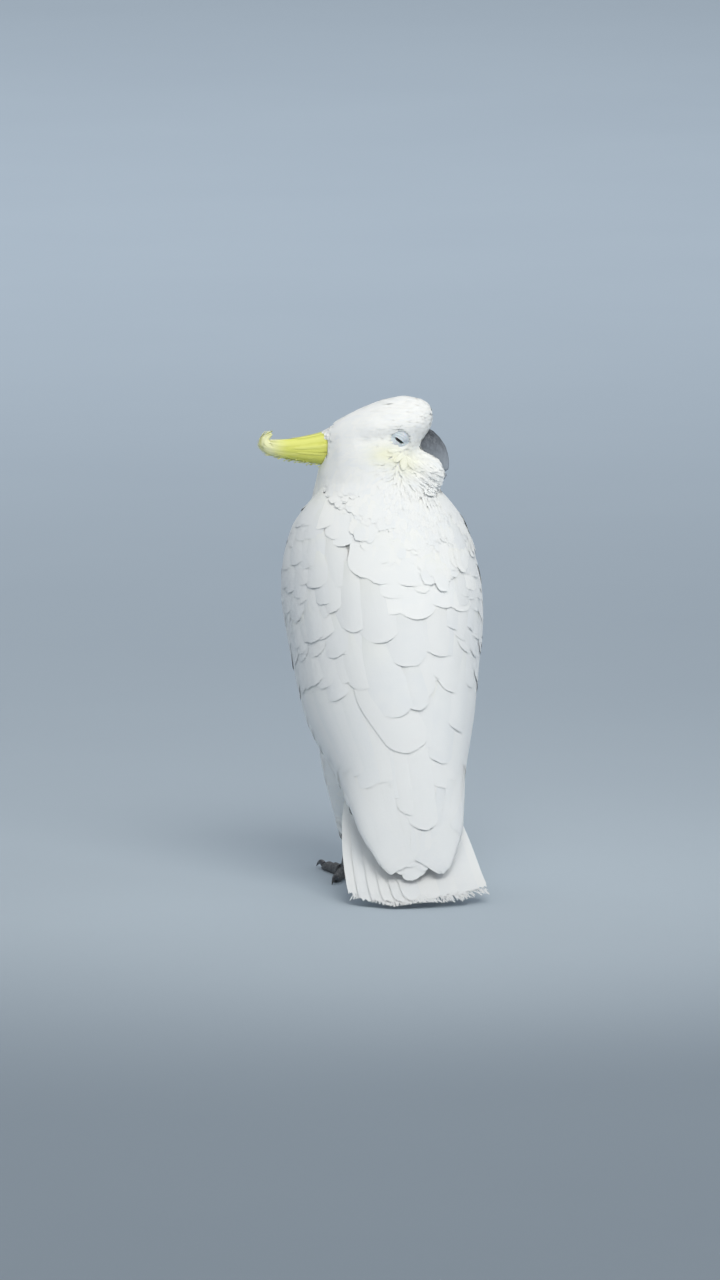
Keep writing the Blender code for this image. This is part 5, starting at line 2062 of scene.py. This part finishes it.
@dataclass
class Eye:
    """An eyeball behind two nearly closed lids with creases, and a dark slanting slit between them."""

    side: Side
    skin: Skin
    ball: float = 0.008
    ball_rings: int = 33
    ball_around: int = 64
    pole: float = 0.02
    cornea: float = 0.08
    cornea_half: float = 0.7
    # How far the eyeball's and the lids' middles stand out of the head's middle plane.
    middle: float = 0.018
    lid: float = 0.027
    slit_long: float = 0.0048
    slit_high: float = 0.0013
    slit_round: float = 0.8
    slit_place: Pair = (-0.0008, -0.0018)
    slant: float = 38.0
    rim_wide: float = 0.0082
    rim_high: float = 0.007
    rings: int = 30
    around: int = 120
    gap: float = 0.0002
    crease: float = 0.00018
    creases: float = 3.5
    crease_edge: Pair = (0.08, 0.3)
    roll: float = 0.0003
    roll_half: float = 0.07
    # Two rings under the feathers: how much wider than the rim, and how much deeper.
    skirt: tuple[Pair, ...] = ((1.06, 0.0004), (1.16, 0.0014))

    @property
    def sign(self) -> float:
        """The left eye looks along the head's +Y."""
        return 1.0 if self.side is Side.LEFT else -1.0

    def place(self, across: Array, up: Array, out: Array) -> Array:
        """World points from places towards the bill, up, and out of the head's middle plane."""
        return HEAD.outward(np.stack([across, self.sign * out, up], -1))

    def build(self, wet: Material, lid_skin: Material) -> None:
        """Builds the eyeball and the lids.

        Args:
            wet: the eyeball's material.
            lid_skin: the lids' material.
        """
        polar = np.linspace(self.pole, math.pi - self.pole, self.ball_rings)
        turn = np.linspace(0, math.tau, self.ball_around, endpoint=False)
        down, spin = np.meshgrid(polar, turn, indexing="ij")
        bulge = 1 + self.cornea * np.exp(-((down / self.cornea_half) ** 2))
        across = self.ball * np.sin(down) * np.cos(spin)
        up = self.ball * np.sin(down) * np.sin(spin) * self.sign
        points = self.place(across, up, self.middle + self.ball * np.cos(down) * bulge)
        quads = tube_quads(self.ball_rings, self.ball_around)
        globe = mesh_piece(f"globe_{self.side.value}", points.reshape(-1, 3), quads, wet)
        hand_over(globe, "eye", f"eye_{self.side.value}")
        self.build_lids(lid_skin)

    def dome(self, x: Array, z: Array, rim_height: Array) -> Array:
        """How far the lids stand out, from their middle to the skin at their rim."""
        reach = np.clip(np.hypot(x / self.rim_wide, z / self.rim_high), 0, 1)
        return self.lid + (rim_height - self.lid) * reach**2

    def build_lids(self, finish: Material) -> None:
        """Builds the lids as one sheet of skin from the slit's rolled edge out under the feathers.

        Args:
            finish: their material.
        """
        turn = np.linspace(0, math.tau, self.around, endpoint=False)
        slant = math.radians(self.slant)
        long = self.slit_long * np.cos(turn)
        high = self.slit_high * np.sign(np.sin(turn)) * np.abs(np.sin(turn)) ** self.slit_round
        start_x, start_z = self.slit_place
        slit_x = start_x + long * math.cos(slant) + high * math.sin(slant)
        slit_z = start_z - long * math.sin(slant) + high * math.cos(slant)
        edge_x, edge_z = self.rim_wide * np.cos(turn - slant), self.rim_high * np.sin(turn - slant)
        rim = self.skin.height_over(edge_x, edge_z, self.sign) + self.gap
        on_ball = self.middle + np.sqrt(self.ball**2 - np.square(slit_x) - np.square(slit_z)) + self.gap
        top = self.dome(slit_x, slit_z, rim)
        rows = [self.place(slit_x, slit_z, on_ball), self.place(slit_x, slit_z, (on_ball + top) / 2)]
        for share in np.arange(self.rings) / (self.rings - 1):
            x, z = slit_x + (edge_x - slit_x) * share, slit_z + (edge_z - slit_z) * share
            waves = np.sin(share * math.tau * self.creases + 0.5 * np.sin(turn * 2))
            fold = self.crease * waves * ease(*self.crease_edge, share) * (1 - share)
            rolled = self.roll * math.exp(-((share / self.roll_half) ** 2))
            rows.append(self.place(x, z, self.dome(x, z, rim) + fold + rolled))
        rows += [self.place(edge_x * wider, edge_z * wider, rim - deeper) for wider, deeper in self.skirt]
        quads = tube_quads(len(rows), self.around)
        if self.sign > 0:
            quads = quads[:, ::-1]
        lids = mesh_piece(f"lids_{self.side.value}", np.stack(rows).reshape(-1, 3), quads, finish)
        hand_over(lids, "lid_skin", f"eyelids_{self.side.value}")


@dataclass
class Feet:
    """Both legs below the feathers: scaled shanks and toes, and horn claws."""

    toes: tuple[str, ...] = ("front_outer", "front_inner", "back_outer", "back_inner")
    claw_voxel: float = 0.0005
    claw_ridge: float = 0.00002

    def build(self, scaled: Material, horn: Material) -> None:
        """Builds shanks, toes and claws.

        Args:
            scaled: the legs' and toes' material.
            horn: the claws' material.
        """
        for side in Side:
            shank = f"tarsus_{side.value}"
            ScaledPart(shank, f"shank_{side.value}", along=UP).build(scaled)
            for toe in self.toes:
                node, claw = f"toe_{side.value}_{toe}", f"claw_{side.value}_{toe}"
                away = (middle_of(node) - middle_of(shank)) * (1 - UP)
                ScaledPart(node, f"scaled_{node}", along=unit(away)).build(scaled)
                part = HornPart(claw, f"horn_{claw}", "claw_horn", self.claw_voxel, ridge=self.claw_ridge)
                part.build(horn)


# ---- the studio


def aimed(thing: bpy.types.Object, ahead: Array) -> None:
    """Turns a lamp or camera to look along a direction."""
    thing.rotation_euler = Vector(ahead).to_track_quat("-Z", "Y").to_euler()


@dataclass(frozen=True)
class Lamp:
    """A soft square panel: its place, side, power in watts, colour, aim and how wide its light fans out."""

    name: str
    place: Triple
    size: float
    power: float
    tone: str
    aim: Triple = (0.0, 0.0, 0.25)
    spread: float = 180.0

    def hang(self) -> None:
        """Puts the panel in the scene."""
        light = bpy.data.lights.new(self.name, "AREA")
        light.shape = "SQUARE"
        light.size = self.size
        light.spread = math.radians(self.spread)
        light.energy = self.power
        light.color = linear(self.tone)[:3]
        panel = link(self.name, light)
        panel.location = self.place
        aimed(panel, Vector(self.aim) - Vector(self.place))


@dataclass
class Studio:
    """A pale paper sweep, soft light from above and a camera low behind the bird's left shoulder."""

    azimuth: float = -12.0
    elevation: float = 8.0
    distance: float = 12.0
    # How high a strip the frame takes in at the bird, and where its middle is, across and up.
    frame_height: float = 1.1228
    look: Pair = (-0.0211, 0.2099)
    sensor: float = 36.0
    sight: float = 60.0
    # The sweep: its front edge, its far edge, its bend's radius and faces, its top and its half width.
    front: float = -18.0
    reach: float = 18.0
    radius: float = 3.0
    bend_faces: int = 16
    top: float = 9.0
    half: float = 18.0
    lamps: tuple[Lamp, ...] = (
        Lamp("overhead", (0.1, -0.85, 1.25), 1.0, 3.0, "#FFFDF8", (0.0, 0.0, 0.45), 80.0),
        Lamp("fill", (-2.0, -3.6, 1.8), 2.5, 3.2, "#F4F8FF"),
        Lamp("right", (3.0, -1.0, 1.8), 2.2, 9.0, "#EEF5FF"),
        Lamp("backdrop", (0.0, 5.5, 5.0), 6.0, 190.0, "#F4F8FF", (0.0, 8.0, 0.0)),
    )
    air: str = "#EAF0F6"
    air_strength: float = 0.47

    def camera(self) -> None:
        """Places the camera."""
        turn, tilt = math.radians(self.azimuth), math.radians(self.elevation)
        right = np.array((math.cos(turn), math.sin(turn), 0.0))
        ahead = np.array((-math.sin(turn) * math.cos(tilt), math.cos(turn) * math.cos(tilt), -math.sin(tilt)))
        target = HEAD.shift + right * self.look[0] + np.cross(right, ahead) * self.look[1]
        lens = bpy.data.cameras.new("camera")
        lens.sensor_fit = "VERTICAL"
        lens.sensor_height = self.sensor
        lens.lens = self.sensor * self.distance / self.frame_height
        lens.clip_end = self.sight
        eye = link("camera", lens)
        eye.location = Vector(target - ahead * self.distance)
        aimed(eye, ahead)
        bpy.context.scene.camera = eye

    def sweep(self, finish: Material) -> None:
        """Lays the floor, curved up into a backdrop far behind.

        Args:
            finish: the paper.
        """
        bend = self.reach - self.radius
        profile = [(self.front, 0.0), (bend, 0.0)]
        for angle in np.linspace(0, math.pi / 2, self.bend_faces + 1)[1:]:
            profile.append((bend + self.radius * math.sin(angle), self.radius * (1 - math.cos(angle))))
        profile.append((self.reach, self.top))
        points = np.array([(x, y, z) for y, z in profile for x in (self.half, -self.half)])
        floor = mesh_piece("paper_sweep", points, grid_quads(len(profile), 2), finish)

    def build(self, paper: Material) -> None:
        """Sets the camera, sweep and lights.

        Args:
            paper: the sweep's material.
        """
        self.camera()
        self.sweep(paper)
        for lamp in self.lamps:
            lamp.hang()
        world = bpy.data.worlds.new("studio air")
        world.use_nodes = True
        inputs = world.node_tree.nodes["Background"].inputs
        inputs["Color"].default_value = linear(self.air)
        inputs["Strength"].default_value = self.air_strength
        bpy.context.scene.world = world
        bpy.context.scene.view_settings.view_transform = "Standard"


def main() -> None:
    """Builds every sub-assembly in order and reports each piece."""
    logging.basicConfig(level=logging.INFO, format="%(name)s: %(message)s")
    white = FeatherKeratin().make()
    down = FeatherKeratin("keratin down, powder white", barbs=False).make()
    # A greyer copy of the white for wings, tail and the feathers below the cape: partly wear, partly painted
    # shade of the lower plumage.
    worn = FeatherKeratin("keratin flight feather, worn white", "#F1F2F1", "#E9ECEE").make()
    bill_horn = Horn("bill horn, dusty slate", "#22272E", "#9DA4AD", "#C6CDD5", 0.16, 0.5, 1.0, 0.25).make()
    claw_horn = Horn("claw horn, dark grey", "#2B2C2F", "#4B4C50", "#85868A", 0.25, 0.38).make()
    wet, lid_skin = WetEye().make(), LidSkin().make()

    body = BodyGuide()
    skin = Skin(down, body)
    hand_over(skin.piece, "plumage", *skin.flesh)
    ContourCoat(skin, body).build(white)
    BackFeathers(skin, body).build(white, worn)
    for side in Side:
        Wing(side, skin, body).build(worn)
    Tail(skin, TailGuide()).build(worn)
    Crest(skin, CrestGuide()).build(CrestKeratin().make(), white)
    for side in Side:
        Eye(side, skin).build(wet, lid_skin)
    for node in ("bill_upper", "bill_lower"):
        HornPart(node, f"horn_{node}", "bill_horn", 0.0006).build(bill_horn)
    Feet().build(ScaledSkin().make(), claw_horn)
    Studio().build(Paper().make())


if __name__ == "__main__":
    main()
